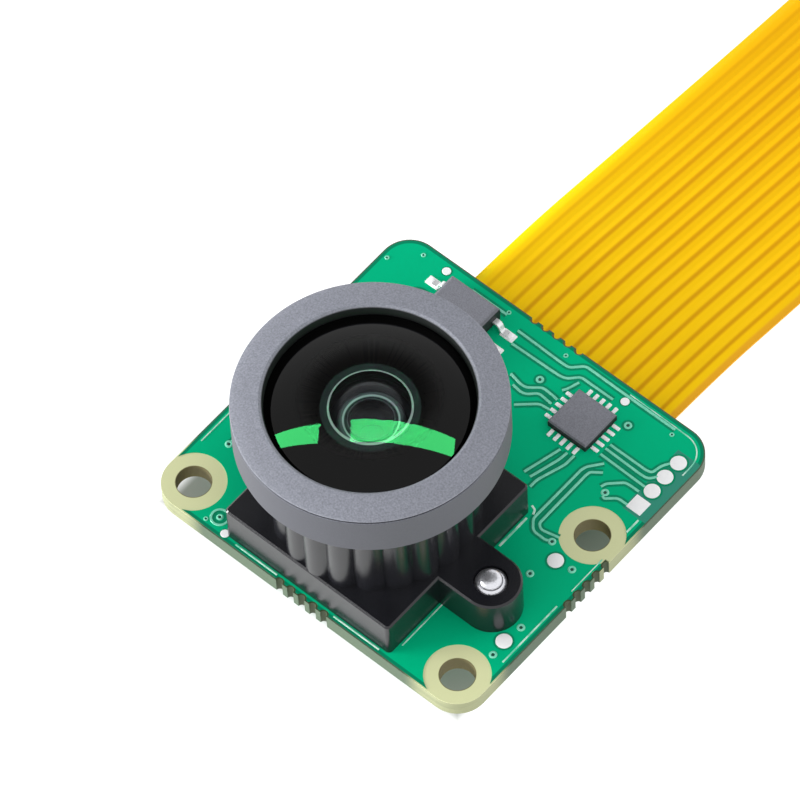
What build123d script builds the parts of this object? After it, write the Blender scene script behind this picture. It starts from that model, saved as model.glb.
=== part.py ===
from build123d import *
import math
import os

os.makedirs("parts", exist_ok=True)

# All sizes are in millimetres.
# X and Y start at the middle of the four mounting holes, and Z at the board's rear face.
# The lens looks along +Z and the ribbon cable leaves along +Y.

# Circuit board: its corners are rounded about the holes
board_t = 1.2
hole_gap_x = 21.0
hole_gap_y = 12.5
hole_d = 2.2
hole_margin = 2.0
back_margin = 9.5
board_w = hole_gap_x + 2 * hole_margin
board_l = hole_gap_y + hole_margin + back_margin
front_edge_y = -hole_gap_y / 2 - hole_margin
back_edge_y = hole_gap_y / 2 + back_margin

# Half holes left along three edges where the board was snapped out of its panel
bite_d = 0.5
bite_pitch = 0.88
bite_count = 5
front_bites_x = -0.13
back_bites_x = -0.28
side_bites_y = 3.41

# Small clearances, each used wherever one piece fits in or beside another
screw_gap = 0.05
lens_gap = 0.06
glass_gap = 0.05
filter_gap = 0.1
latch_gap = 0.05
cable_gap = 0.1
cable_side_gap = 0.2
finger_gap = 0.02

# Lens position on the board
lens_y = -1.3

# Lens holder: a square foot with two screw ears and a ribbed round tower
foot_side = 13.0
foot_corner_r = 0.3
foot_edge = 0.12
foot_h = 2.95
foot_roof_t = 0.6
cavity_side = 10.4
window_r = 3.5
ear_span = 18.0
ear_r = 1.9
thread_bore_r = 5.75
rib_count = 22
rib_r = 1.15
rib_ring_r = 5.35
rib_turn_deg = 12.9
tower_core_r = 6.1
tower_edge = 0.3

# Screws that hold the lens holder from behind
screw_r = 1.0
screw_head_r = 1.9
screw_head_h = 1.5
screw_head_round = 0.8
screw_point = 0.5
screw_tip_rise = 0.4
cross_w = 0.4
cross_l = 2.0
cross_depth = 0.8

# Infrared filter
filter_side = 7.8
filter_t = 0.3

# Image sensor
sensor_w = 7.6
sensor_l = 7.0
sensor_t = 0.7
sensor_glass_t = 0.45
sensor_glass_inset = 0.15

# Lens barrel: the stem ends above the filter, and the head stops above the tower
focus_gap = 1.05
head_gap = 0.8
head_r = 8.3
head_h = 3.75
head_slope = 0.28
head_lower_edge = 0.3
rim_r = 6.56
rim_depth = 0.4
front_glass_r = 6.25
front_pocket_depth = 1.5
shoulder_t = 1.2
shoulder_r = 2.75
stack_r = 4.5
barrel_end_edge = 0.3
rear_ring_inset = 0.2

# Lens elements
front_glass_edge_t = 0.8
front_dome_radius = 13.0
front_bowl_r = 2.7
front_bowl_radius = 3.45
second_dome_r = 2.6
second_dome_radius = 7.0
second_t = 0.8
second_bowl_r = 2.05
second_bowl_radius = 3.2
spacer_t = 1.2
spacer_r = 2.1
third_dome_r = 2.0
third_dome_radius = 6.0
third_t = 1.4
stop_t = 0.2
stop_r = 1.0
rear_glass_t = 2.5
rear_dome_r = 3.0
rear_dome_radius = 9.0
rear_ring_t = 1.0
rear_ring_r = 3.1

# Square chip with flat leads on the front
front_chip_side = 3.0
front_chip_t = 0.6
front_chip_from_side = 7.58
front_chip_from_back = 3.81
front_chip_edge = 0.12

# Memory chip with bent leads on the front
memory_w = 3.85
memory_l = 4.9
memory_t = 1.4
memory_from_side = 6.95
memory_from_back = 3.85
memory_edge = 0.18
memory_lead_pitch = 1.27
memory_lead_rows = 4
memory_lead_w = 0.42
memory_lead_t = 0.2
memory_lead_reach = 1.15
memory_lead_foot = 0.6
memory_lead_z = 0.75
memory_stand = 0.1

# Rows of small pieces on the rear, each measured towards the front edge
chip_row_setback = 6.0
capacitor_row_setback = 10.1
resistor_row_setback = 13.8

# Voltage regulators on the rear
regulator_w = 1.6
regulator_l = 2.9
regulator_t = 1.0
regulator_gap_x = 9.2
regulator_stand = 0.1
regulator_lead_pitch = 0.95
regulator_lead_w = 0.4
regulator_lead_t = 0.15
regulator_lead_reach = 0.6
regulator_lead_foot = 0.4

# Clock oscillator on the rear
clock_w = 3.2
clock_l = 2.5
clock_t = 0.9
clock_corner_r = 0.3

# Small capacitors and resistors on the rear
capacitor_w = 1.6
capacitor_l = 0.8
capacitor_t = 0.8
capacitor_pitch_x = 2.6
capacitor_columns = 4
resistor_w = 0.5
resistor_l = 1.0
resistor_t = 0.35
resistor_pitch_x = 1.3
resistor_columns = 6

# Ribbon connector on the rear
contact_count = 15
contact_pitch = 1.0
contact_w = 0.3
contact_t = 0.25
contact_foot_l = 0.8
contact_reach = 3.4
contact_tip_l = 0.5
contact_drop = 0.58
slot_roof_t = 0.65
slot_floor_t = 0.55
housing_side_t = 1.7
housing_back_t = 0.8
housing_l = 4.6
latch_bar_l = 0.9
latch_bar_top = 0.45
latch_bar_foot = 0.1
latch_board_margin = 0.2
latch_tongue_l = 2.5
latch_tongue_t = 0.3
latch_arm_t = 0.55
latch_arm_l = 2.6
latch_arm_h = 1.0
latch_corner_r = 0.2
anchor_w = 1.0
anchor_l = 1.4
anchor_t = 0.3
anchor_up = 1.1
anchor_setback = 0.3

# Ribbon cable: the usual margin of half a pitch lies outside the end conductors
cable_w = contact_pitch * (contact_count + 1)
cable_t = 0.2
cable_back_gap = 0.35
stiffener_t = 0.15
near_stiffener_l = 4.4
far_stiffener_l = 6.0
finger_w = 0.7
finger_l = 4.0
finger_t = 0.05

# Stretches of the ribbon's route along +Y, from its tip in the connector to its free end
exit_stretch = 8.8
fall_stretch = 10.0
landing_stretch = 16.0
near_stretch = 29.0
middle_stretch = 44.0
end_stretch = 42.0

# How far the ribbon has drifted to the right at the end of each stretch
fall_drift = 0.35
landing_drift = 1.5
near_drift = 3.0
end_drift = 4.1


def sag(radius, across):
    """How far a spherical face drops at a distance from its axis."""
    return radius - math.sqrt(radius**2 - across**2)


# Heights and places worked out from the sizes above
foot_top_z = board_t + foot_h
shelf_z = foot_top_z - foot_roof_t
barrel_end_z = foot_top_z + filter_t + focus_gap
rear_ring_bottom_z = barrel_end_z + rear_ring_inset
rear_glass_bottom_z = rear_ring_bottom_z + rear_ring_t
stop_bottom_z = rear_glass_bottom_z + rear_glass_t
third_bottom_z = stop_bottom_z + stop_t
spacer_bottom_z = third_bottom_z + third_t
second_bottom_z = spacer_bottom_z + spacer_t
shoulder_bottom_z = second_bottom_z + second_t
shoulder_top_z = shoulder_bottom_z + shoulder_t
front_glass_edge_z = shoulder_top_z + front_glass_edge_t
rim_z = shoulder_top_z + front_pocket_depth
head_bottom_z = rim_z - head_h
tower_top_z = head_bottom_z - head_gap
tower_h = tower_top_z - foot_top_z
barrel_r = thread_bore_r - lens_gap
stack_bore_r = stack_r + glass_gap
front_pocket_r = front_glass_r + glass_gap
screw_hole_r = screw_r + screw_gap
latch_front_y = back_edge_y - latch_board_margin
latch_back_y = latch_front_y - latch_bar_l
mouth_y = latch_back_y - latch_gap
housing_back_y = mouth_y - housing_l
slot_back_y = housing_back_y + housing_back_t
cable_tip_y = slot_back_y + cable_back_gap
slot_w = cable_w + 2 * cable_side_gap
housing_w = slot_w + 2 * housing_side_t

# The stack inside the connector, downwards from the board's rear face
slot_top_z = -slot_roof_t
tip_bottom_z = slot_top_z - contact_drop
cable_z = tip_bottom_z - finger_gap - finger_t - cable_t / 2
near_stiffener_bottom_z = cable_z - cable_t / 2 - stiffener_t
tongue_top_z = near_stiffener_bottom_z - latch_gap
tongue_bottom_z = tongue_top_z - latch_tongue_t
slot_bottom_z = tongue_bottom_z - latch_gap
housing_bottom_z = slot_bottom_z - slot_floor_t
housing_h = -housing_bottom_z
cable_rest_z = housing_bottom_z + stiffener_t + cable_t / 2
contact_x_span = contact_pitch * (contact_count - 1)
foot_y = housing_back_y - contact_foot_l
front_chip_x = board_w / 2 - front_chip_from_side
front_chip_y = back_edge_y - front_chip_from_back
memory_x = memory_from_side - board_w / 2
memory_y = back_edge_y - memory_from_back
chip_row_y = foot_y - chip_row_setback
capacitor_row_y = foot_y - capacitor_row_setback
resistor_row_y = foot_y - resistor_row_setback

# A vertical plane through the lens axis, for the profiles of the round pieces
lens_plane = Plane(origin=(0, lens_y, 0), x_dir=(1, 0, 0), z_dir=(0, -1, 0))
lens_axis = Axis((0, lens_y, 0), (0, 0, 1))


# Circuit board: glass-epoxy laminate with four mounting holes and two screw holes
with BuildPart() as circuit_board:
    with BuildSketch():
        with Locations((0, front_edge_y + board_l / 2)):
            RectangleRounded(board_w, board_l, hole_margin)
        with GridLocations(hole_gap_x, hole_gap_y, 2, 2):
            Circle(hole_d / 2, mode=Mode.SUBTRACT)
        with Locations((0, lens_y)):
            with GridLocations(ear_span, 1, 2, 1):
                Circle(screw_hole_r, mode=Mode.SUBTRACT)
        with Locations((front_bites_x, front_edge_y), (back_bites_x, back_edge_y)):
            with GridLocations(bite_pitch, 1, bite_count, 1):
                Circle(bite_d / 2, mode=Mode.SUBTRACT)
        with Locations((board_w / 2, side_bites_y)):
            with GridLocations(1, bite_pitch, 1, bite_count):
                Circle(bite_d / 2, mode=Mode.SUBTRACT)
    extrude(amount=board_t)
circuit_board.part.label = "circuit_board"
export_step(circuit_board.part, "parts/circuit_board.step")


# Lens holder: one black moulding, hollow over the sensor and bored for the lens
with BuildPart() as lens_holder:
    with BuildSketch(Plane.XY.offset(board_t)):
        with Locations((0, lens_y)):
            RectangleRounded(foot_side, foot_side, foot_corner_r)
            SlotCenterToCenter(ear_span, 2 * ear_r)
    extrude(amount=foot_h)
    chamfer(lens_holder.edges().group_by(Axis.Z)[-1], foot_edge)
    with BuildSketch(Plane.XY.offset(foot_top_z)):
        with Locations((0, lens_y)):
            Circle(tower_core_r)
            with PolarLocations(rib_ring_r, rib_count, start_angle=rib_turn_deg):
                Circle(rib_r)
    extrude(amount=tower_h)
    with BuildSketch(Plane.XY.offset(foot_top_z)):
        with Locations((0, lens_y)):
            Circle(thread_bore_r)
    extrude(amount=tower_h, mode=Mode.SUBTRACT)
    with BuildSketch(Plane.XY.offset(board_t)):
        with Locations((0, lens_y)):
            Rectangle(cavity_side, cavity_side)
    extrude(amount=foot_h - foot_roof_t, mode=Mode.SUBTRACT)
    with BuildSketch(Plane.XY.offset(shelf_z)):
        with Locations((0, lens_y)):
            Circle(window_r)
    extrude(amount=foot_roof_t, mode=Mode.SUBTRACT)
    with BuildSketch(Plane.XY.offset(board_t)):
        with Locations((0, lens_y)):
            with GridLocations(ear_span, 1, 2, 1):
                Circle(screw_hole_r)
    extrude(amount=foot_h, mode=Mode.SUBTRACT)
    with BuildSketch(lens_plane):
        with BuildLine():
            Polyline(
                (thread_bore_r - tower_edge, tower_top_z + tower_edge),
                (thread_bore_r + tower_edge, tower_top_z),
                (thread_bore_r, tower_top_z - tower_edge),
                (thread_bore_r - tower_edge, tower_top_z - tower_edge),
                close=True,
            )
        make_face()
    revolve(axis=lens_axis, mode=Mode.SUBTRACT)
lens_holder.part.label = "lens_holder"
export_step(lens_holder.part, "parts/lens_holder.step")


# Holder screws: two pan heads under the board, their points showing in the ears
with BuildPart() as holder_screws:
    with BuildSketch(Plane.XY.offset(-screw_head_h)):
        with Locations((0, lens_y)):
            with GridLocations(ear_span, 1, 2, 1):
                Circle(screw_head_r)
    extrude(amount=screw_head_h)
    fillet(holder_screws.edges().group_by(Axis.Z)[0], screw_head_round)
    with BuildSketch(Plane.XY.offset(-screw_head_h)):
        with Locations((0, lens_y)):
            with GridLocations(ear_span, 1, 2, 1):
                Rectangle(cross_l, cross_w)
                Rectangle(cross_w, cross_l)
    extrude(amount=cross_depth, mode=Mode.SUBTRACT)
    with BuildSketch():
        with Locations((0, lens_y)):
            with GridLocations(ear_span, 1, 2, 1):
                Circle(screw_r)
    extrude(amount=foot_top_z + screw_tip_rise)
    chamfer(holder_screws.edges().group_by(Axis.Z)[-1], screw_point)
holder_screws.part.label = "holder_screws"
export_step(holder_screws.part, "parts/holder_screws.step")


# Infrared filter: a thin glass square that lies on the shelf under the lens
with BuildPart() as infrared_filter:
    with BuildSketch(Plane.XY.offset(foot_top_z)):
        with Locations((0, lens_y)):
            Rectangle(filter_side, filter_side)
    extrude(amount=filter_t)
infrared_filter.part.label = "infrared_filter"
export_step(infrared_filter.part, "parts/infrared_filter.step")


# Image sensor: the silicon package on the board, inside the holder's hollow
with BuildPart() as image_sensor:
    with BuildSketch(Plane.XY.offset(board_t)):
        with Locations((0, lens_y)):
            Rectangle(sensor_w, sensor_l)
    extrude(amount=sensor_t)
image_sensor.part.label = "image_sensor"
export_step(image_sensor.part, "parts/image_sensor.step")


# Sensor cover glass: bonded to the package
with BuildPart() as sensor_cover_glass:
    with BuildSketch(Plane.XY.offset(board_t + sensor_t)):
        with Locations((0, lens_y)):
            Rectangle(sensor_w - 2 * sensor_glass_inset, sensor_l - 2 * sensor_glass_inset)
    extrude(amount=sensor_glass_t)
sensor_cover_glass.part.label = "sensor_cover_glass"
export_step(sensor_cover_glass.part, "parts/sensor_cover_glass.step")


# Lens barrel: one turned piece with a wide head, a threaded stem and an inner shoulder
with BuildPart() as lens_barrel:
    with BuildSketch(lens_plane):
        with BuildLine():
            Polyline(
                (rim_r, rim_z),
                (head_r, rim_z - head_slope),
                (head_r, head_bottom_z + head_lower_edge),
                (head_r - head_lower_edge, head_bottom_z),
                (barrel_r, head_bottom_z),
                (barrel_r, barrel_end_z + barrel_end_edge),
                (barrel_r - barrel_end_edge, barrel_end_z),
                (stack_bore_r, barrel_end_z),
                (stack_bore_r, shoulder_bottom_z),
                (shoulder_r, shoulder_bottom_z),
                (shoulder_r, shoulder_top_z),
                (front_pocket_r, shoulder_top_z),
                (front_pocket_r, rim_z - rim_depth),
                close=True,
            )
        make_face()
    revolve(axis=lens_axis)
lens_barrel.part.label = "lens_barrel"
export_step(lens_barrel.part, "parts/lens_barrel.step")


# Front element: a wide domed glass, hollowed behind, seated on the barrel's shoulder
front_dome_z = front_glass_edge_z + sag(front_dome_radius, front_glass_r)
front_bowl_z = shoulder_top_z + sag(front_bowl_radius, front_bowl_r)
with BuildPart() as front_element:
    with BuildSketch(lens_plane):
        with BuildLine():
            ThreePointArc(
                (0, front_dome_z),
                (front_glass_r / 2, front_dome_z - sag(front_dome_radius, front_glass_r / 2)),
                (front_glass_r, front_glass_edge_z),
            )
            Polyline(
                (front_glass_r, front_glass_edge_z),
                (front_glass_r, shoulder_top_z),
                (front_bowl_r, shoulder_top_z),
            )
            ThreePointArc(
                (front_bowl_r, shoulder_top_z),
                (front_bowl_r / 2, front_bowl_z - sag(front_bowl_radius, front_bowl_r / 2)),
                (0, front_bowl_z),
            )
            Line((0, front_bowl_z), (0, front_dome_z))
        make_face()
    revolve(axis=lens_axis)
front_element.part.label = "front_element"
export_step(front_element.part, "parts/front_element.step")


# Second element: a smaller glass held up against the shoulder from behind
second_dome_z = shoulder_bottom_z + sag(second_dome_radius, second_dome_r)
second_bowl_z = second_bottom_z + sag(second_bowl_radius, second_bowl_r)
with BuildPart() as second_element:
    with BuildSketch(lens_plane):
        with BuildLine():
            ThreePointArc(
                (0, second_dome_z),
                (second_dome_r / 2, second_dome_z - sag(second_dome_radius, second_dome_r / 2)),
                (second_dome_r, shoulder_bottom_z),
            )
            Polyline(
                (second_dome_r, shoulder_bottom_z),
                (stack_r, shoulder_bottom_z),
                (stack_r, second_bottom_z),
                (second_bowl_r, second_bottom_z),
            )
            ThreePointArc(
                (second_bowl_r, second_bottom_z),
                (second_bowl_r / 2, second_bowl_z - sag(second_bowl_radius, second_bowl_r / 2)),
                (0, second_bowl_z),
            )
            Line((0, second_bowl_z), (0, second_dome_z))
        make_face()
    revolve(axis=lens_axis)
second_element.part.label = "second_element"
export_step(second_element.part, "parts/second_element.step")


# Spacer ring: sets the air gap between the second and third elements
with BuildPart() as spacer_ring:
    with BuildSketch(Plane.XY.offset(spacer_bottom_z)):
        with Locations((0, lens_y)):
            Circle(stack_r)
            Circle(spacer_r, mode=Mode.SUBTRACT)
    extrude(amount=spacer_t)
spacer_ring.part.label = "spacer_ring"
export_step(spacer_ring.part, "parts/spacer_ring.step")


# Third element: a thicker glass whose dome stands up inside the spacer
third_dome_z = spacer_bottom_z + sag(third_dome_radius, third_dome_r)
with BuildPart() as third_element:
    with BuildSketch(lens_plane):
        with BuildLine():
            ThreePointArc(
                (0, third_dome_z),
                (third_dome_r / 2, third_dome_z - sag(third_dome_radius, third_dome_r / 2)),
                (third_dome_r, spacer_bottom_z),
            )
            Polyline(
                (third_dome_r, spacer_bottom_z),
                (stack_r, spacer_bottom_z),
                (stack_r, third_bottom_z),
                (0, third_bottom_z),
                (0, third_dome_z),
            )
        make_face()
    revolve(axis=lens_axis)
third_element.part.label = "third_element"
export_step(third_element.part, "parts/third_element.step")


# Aperture stop: a thin black disc with the small hole that the light passes
with BuildPart() as aperture_stop:
    with BuildSketch(Plane.XY.offset(stop_bottom_z)):
        with Locations((0, lens_y)):
            Circle(stack_r)
            Circle(stop_r, mode=Mode.SUBTRACT)
    extrude(amount=stop_t)
aperture_stop.part.label = "aperture_stop"
export_step(aperture_stop.part, "parts/aperture_stop.step")


# Rear element: the thick glass nearest the sensor, domed towards it
rear_dome_z = rear_glass_bottom_z - sag(rear_dome_radius, rear_dome_r)
with BuildPart() as rear_element:
    with BuildSketch(lens_plane):
        with BuildLine():
            Polyline(
                (0, rear_dome_z),
                (0, stop_bottom_z),
                (stack_r, stop_bottom_z),
                (stack_r, rear_glass_bottom_z),
                (rear_dome_r, rear_glass_bottom_z),
            )
            ThreePointArc(
                (rear_dome_r, rear_glass_bottom_z),
                (rear_dome_r / 2, rear_dome_z + sag(rear_dome_radius, rear_dome_r / 2)),
                (0, rear_dome_z),
            )
        make_face()
    revolve(axis=lens_axis)
rear_element.part.label = "rear_element"
export_step(rear_element.part, "parts/rear_element.step")


# Rear ring: screwed into the barrel's end to hold the stack of elements
with BuildPart() as rear_ring:
    with BuildSketch(Plane.XY.offset(rear_ring_bottom_z)):
        with Locations((0, lens_y)):
            Circle(stack_r)
            Circle(rear_ring_r, mode=Mode.SUBTRACT)
    extrude(amount=rear_ring_t)
rear_ring.part.label = "rear_ring"
export_step(rear_ring.part, "parts/rear_ring.step")


# Front chip: a flat square package soldered close to the board
with BuildPart() as front_chip:
    with BuildSketch(Plane.XY.offset(board_t)):
        with Locations((front_chip_x, front_chip_y)):
            Rectangle(front_chip_side, front_chip_side)
    extrude(amount=front_chip_t)
    chamfer(front_chip.edges().group_by(Axis.Z)[-1], front_chip_edge)
front_chip.part.label = "front_chip"
export_step(front_chip.part, "parts/front_chip.step")


# Memory chip: a moulded body, drafted above and below its leads
with BuildPart() as memory_chip:
    with BuildSketch(Plane.XY.offset(board_t + memory_stand)):
        with Locations((memory_x, memory_y)):
            Rectangle(memory_w, memory_l)
    extrude(amount=memory_t)
    chamfer(memory_chip.edges().group_by(Axis.Z)[-1], memory_edge)
    chamfer(memory_chip.edges().group_by(Axis.Z)[0], memory_edge)
memory_chip.part.label = "memory_chip"
export_step(memory_chip.part, "parts/memory_chip.step")


# Memory chip leads: tinned strips bent down to the board along two sides
memory_knee = memory_w / 2 + memory_lead_reach - memory_lead_foot
memory_toe = memory_w / 2 + memory_lead_reach
memory_foot_z = board_t + memory_lead_t
memory_arm_z = board_t + memory_lead_z
with BuildPart() as memory_chip_leads:
    for row in range(memory_lead_rows):
        row_y = memory_y + (row - (memory_lead_rows - 1) / 2) * memory_lead_pitch
        for side in (-1, 1):
            lead_plane = Plane(origin=(memory_x, row_y, 0), x_dir=(side, 0, 0), z_dir=(0, -side, 0))
            with BuildSketch(lead_plane):
                with BuildLine():
                    Polyline(
                        (memory_w / 2, memory_arm_z),
                        (memory_knee, memory_arm_z),
                        (memory_knee, memory_foot_z),
                        (memory_toe, memory_foot_z),
                        (memory_toe, board_t),
                        (memory_knee - memory_lead_t, board_t),
                        (memory_knee - memory_lead_t, memory_arm_z - memory_lead_t),
                        (memory_w / 2, memory_arm_z - memory_lead_t),
                        close=True,
                    )
                make_face()
            extrude(amount=memory_lead_w / 2, both=True)
memory_chip_leads.part.label = "memory_chip_leads"
export_step(memory_chip_leads.part, "parts/memory_chip_leads.step")


# Voltage regulators: two small moulded chips on the rear
with BuildPart() as voltage_regulators:
    with BuildSketch(Plane.XY.offset(-regulator_stand)):
        with Locations((0, chip_row_y)):
            with GridLocations(regulator_gap_x, 1, 2, 1):
                Rectangle(regulator_w, regulator_l)
    extrude(amount=-regulator_t)
voltage_regulators.part.label = "voltage_regulators"
export_step(voltage_regulators.part, "parts/voltage_regulators.step")


# Regulator leads: three on one side and two on the other of each chip
regulator_lead_l = regulator_lead_reach - regulator_lead_foot
regulator_lead_rows = [(-1, -1), (-1, 0), (-1, 1), (1, -1), (1, 1)]
with BuildPart() as regulator_leads:
    for chip_x in (-regulator_gap_x / 2, regulator_gap_x / 2):
        for side, row in regulator_lead_rows:
            row_y = chip_row_y + row * regulator_lead_pitch
            root_x = chip_x + side * (regulator_w + regulator_lead_l) / 2
            foot_x = root_x + side * regulator_lead_reach / 2
            with BuildSketch():
                with Locations((root_x, row_y)):
                    Rectangle(regulator_lead_l, regulator_lead_w)
            extrude(amount=-regulator_t / 2)
            with BuildSketch():
                with Locations((foot_x, row_y)):
                    Rectangle(regulator_lead_foot, regulator_lead_w)
            extrude(amount=-regulator_lead_t)
regulator_leads.part.label = "regulator_leads"
export_step(regulator_leads.part, "parts/regulator_leads.step")


# Clock oscillator: a small metal-lidded package between the regulators
with BuildPart() as clock_oscillator:
    with BuildSketch():
        with Locations((0, chip_row_y)):
            RectangleRounded(clock_w, clock_l, clock_corner_r)
    extrude(amount=-clock_t)
clock_oscillator.part.label = "clock_oscillator"
export_step(clock_oscillator.part, "parts/clock_oscillator.step")


# Capacitors: a row of ceramic blocks behind the sensor
with BuildPart() as capacitors:
    with BuildSketch():
        with Locations((0, capacitor_row_y)):
            with GridLocations(capacitor_pitch_x, 1, capacitor_columns, 1):
                Rectangle(capacitor_w, capacitor_l)
    extrude(amount=-capacitor_t)
capacitors.part.label = "capacitors"
export_step(capacitors.part, "parts/capacitors.step")


# Resistors: a row of flat chips near the front edge
with BuildPart() as resistors:
    with BuildSketch():
        with Locations((0, resistor_row_y)):
            with GridLocations(resistor_pitch_x, 1, resistor_columns, 1):
                Rectangle(resistor_w, resistor_l)
    extrude(amount=-resistor_t)
resistors.part.label = "resistors"
export_step(resistors.part, "parts/resistors.step")


# Connector housing: a moulded block with a wide slot for the ribbon and a hole per contact
beam_bottom_z = slot_top_z - contact_t
with BuildPart() as connector_housing:
    with BuildSketch(Plane.YZ):
        with Locations((mouth_y - housing_l / 2, housing_bottom_z / 2)):
            Rectangle(housing_l, housing_h)
    extrude(amount=housing_w / 2, both=True)
    with BuildSketch(Plane.YZ):
        with Locations(((mouth_y + slot_back_y) / 2, (slot_top_z + slot_bottom_z) / 2)):
            Rectangle(mouth_y - slot_back_y, slot_top_z - slot_bottom_z)
    extrude(amount=slot_w / 2, both=True, mode=Mode.SUBTRACT)
    with BuildSketch(Plane.XZ.offset(-housing_back_y)):
        with Locations((0, slot_top_z - contact_t / 2)):
            with GridLocations(contact_pitch, 1, contact_count, 1):
                Rectangle(contact_w, contact_t)
    extrude(amount=-housing_back_t, mode=Mode.SUBTRACT)
connector_housing.part.label = "connector_housing"
export_step(connector_housing.part, "parts/connector_housing.step")


# Connector contacts: a spring strip each, from a foot on the board to a tip on the ribbon
beam_end_y = slot_back_y + contact_reach
with BuildPart() as connector_contacts:
    for number in range(contact_count):
        contact_x = number * contact_pitch - contact_x_span / 2
        with BuildSketch(Plane.YZ.offset(contact_x)):
            with BuildLine():
                Polyline(
                    (foot_y, 0),
                    (housing_back_y, 0),
                    (housing_back_y, slot_top_z),
                    (beam_end_y, slot_top_z),
                    (beam_end_y, tip_bottom_z),
                    (beam_end_y - contact_tip_l, tip_bottom_z),
                    (beam_end_y - contact_tip_l, beam_bottom_z),
                    (housing_back_y - contact_t, beam_bottom_z),
                    (housing_back_y - contact_t, -contact_t),
                    (foot_y, -contact_t),
                    close=True,
                )
            make_face()
        extrude(amount=contact_w / 2, both=True)
connector_contacts.part.label = "connector_contacts"
export_step(connector_contacts.part, "parts/connector_contacts.step")


# Connector anchors: a bent metal tab at each end, soldered to the board
anchor_y = housing_back_y + anchor_setback + anchor_l / 2
with BuildPart() as connector_anchors:
    for side in (-1, 1):
        with BuildSketch():
            with Locations((side * (housing_w + anchor_w) / 2, anchor_y)):
                Rectangle(anchor_w, anchor_l)
        extrude(amount=-anchor_t)
        with BuildSketch():
            with Locations((side * (housing_w + anchor_t) / 2, anchor_y)):
                Rectangle(anchor_t, anchor_l)
        extrude(amount=-anchor_up)
connector_anchors.part.label = "connector_anchors"
export_step(connector_anchors.part, "parts/connector_anchors.step")


# Connector latch: a bar across the mouth whose tongue wedges the ribbon up to the contacts
latch_low_z = housing_bottom_z + latch_bar_foot
window_top_z = cable_z + cable_t / 2 + cable_gap
window_bottom_z = near_stiffener_bottom_z - cable_gap
tongue_w = slot_w - 2 * cable_gap
arm_inner_x = housing_w / 2 + latch_gap
latch_bar_w = 2 * (arm_inner_x + latch_arm_t)
with BuildPart() as connector_latch:
    with BuildSketch(Plane.YZ):
        with Locations((latch_back_y + latch_bar_l / 2, (latch_low_z - latch_bar_top) / 2)):
            RectangleRounded(latch_bar_l, -latch_bar_top - latch_low_z, latch_corner_r)
    extrude(amount=latch_bar_w / 2, both=True)
    with BuildSketch(Plane.YZ):
        with Locations((latch_back_y + latch_bar_l / 2, (window_top_z + window_bottom_z) / 2)):
            Rectangle(latch_bar_l, window_top_z - window_bottom_z)
    extrude(amount=slot_w / 2, both=True, mode=Mode.SUBTRACT)
    with BuildSketch(Plane.XY.offset(tongue_bottom_z)):
        with Locations((0, latch_back_y + (latch_bar_l - latch_tongue_l) / 2)):
            Rectangle(tongue_w, latch_tongue_l + latch_bar_l)
    extrude(amount=tongue_top_z - tongue_bottom_z)
    with BuildSketch(Plane.XY.offset(cable_z - latch_arm_h / 2)):
        with Locations((0, latch_back_y - latch_arm_l / 2)):
            with GridLocations(2 * arm_inner_x + latch_arm_t, 1, 2, 1):
                Rectangle(latch_arm_t, latch_arm_l + latch_corner_r)
    extrude(amount=latch_arm_h)
connector_latch.part.label = "connector_latch"
export_step(connector_latch.part, "parts/connector_latch.step")


# Ribbon cable: one flat cable, from inside the connector down to the surface and along it.
# The route's points run from the tip in the connector to the free end.
fall_y = cable_tip_y + exit_stretch
landing_y = fall_y + fall_stretch
near_y = landing_y + landing_stretch
middle_y = near_y + near_stretch
end_y = middle_y + middle_stretch
cable_end_y = end_y + end_stretch
cable_end_x = end_drift
cable_route = [
    (0.0, cable_tip_y, cable_z),
    (0.0, fall_y, cable_z),
    (fall_drift, landing_y, cable_rest_z),
    (landing_drift, near_y, cable_rest_z),
    (near_drift, middle_y, cable_rest_z),
    (cable_end_x, end_y, cable_rest_z),
    (cable_end_x, cable_end_y, cable_rest_z),
]
run_share = 0.45


def bend_radii(points):
    """A radius for each inner point, as large as its two runs allow."""
    found = []
    for before, here, after in zip(points, points[1:], points[2:]):
        run_in = Vector(here) - Vector(before)
        run_out = Vector(after) - Vector(here)
        half_turn = math.radians(run_in.get_angle(run_out)) / 2
        found.append(run_share * min(run_in.length, run_out.length) / math.tan(half_turn))
    return found


side_points = [(y, z) for x, y, z in cable_route[:3]] + [(cable_end_y, cable_rest_z)]
plan_points = [(x, y) for x, y, z in cable_route]
side_radii = bend_radii([(0, y, z) for y, z in side_points])
plan_radii = bend_radii([(x, y, 0) for x, y in plan_points])
print("cable bend radii, side view:", [round(r, 1) for r in side_radii])
print("cable bend radii, plan view:", [round(r, 1) for r in plan_radii])
with BuildPart() as ribbon_cable:
    with BuildSketch(Plane.YZ):
        with BuildLine():
            FilletPolyline(*side_points, radius=side_radii)
        trace(line_width=cable_t)
    extrude(amount=cable_w, both=True)
    with BuildSketch(Plane.XY.offset(housing_bottom_z)):
        with BuildLine():
            FilletPolyline(*plan_points, radius=plan_radii)
        trace(line_width=cable_w)
    extrude(amount=housing_h, mode=Mode.INTERSECT)
cable_length = ribbon_cable.part.volume / (cable_w * cable_t)
print("cable length from its volume:", round(cable_length, 2))
ribbon_cable.part.label = "ribbon_cable"
export_step(ribbon_cable.part, "parts/ribbon_cable.step")


# Near stiffener: a strip bonded under the ribbon's end inside the connector
with BuildPart() as cable_near_stiffener:
    with BuildSketch(Plane.XY.offset(near_stiffener_bottom_z)):
        with Locations((0, cable_tip_y + near_stiffener_l / 2)):
            Rectangle(cable_w, near_stiffener_l)
    extrude(amount=stiffener_t)
cable_near_stiffener.part.label = "cable_near_stiffener"
export_step(cable_near_stiffener.part, "parts/cable_near_stiffener.step")


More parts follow.
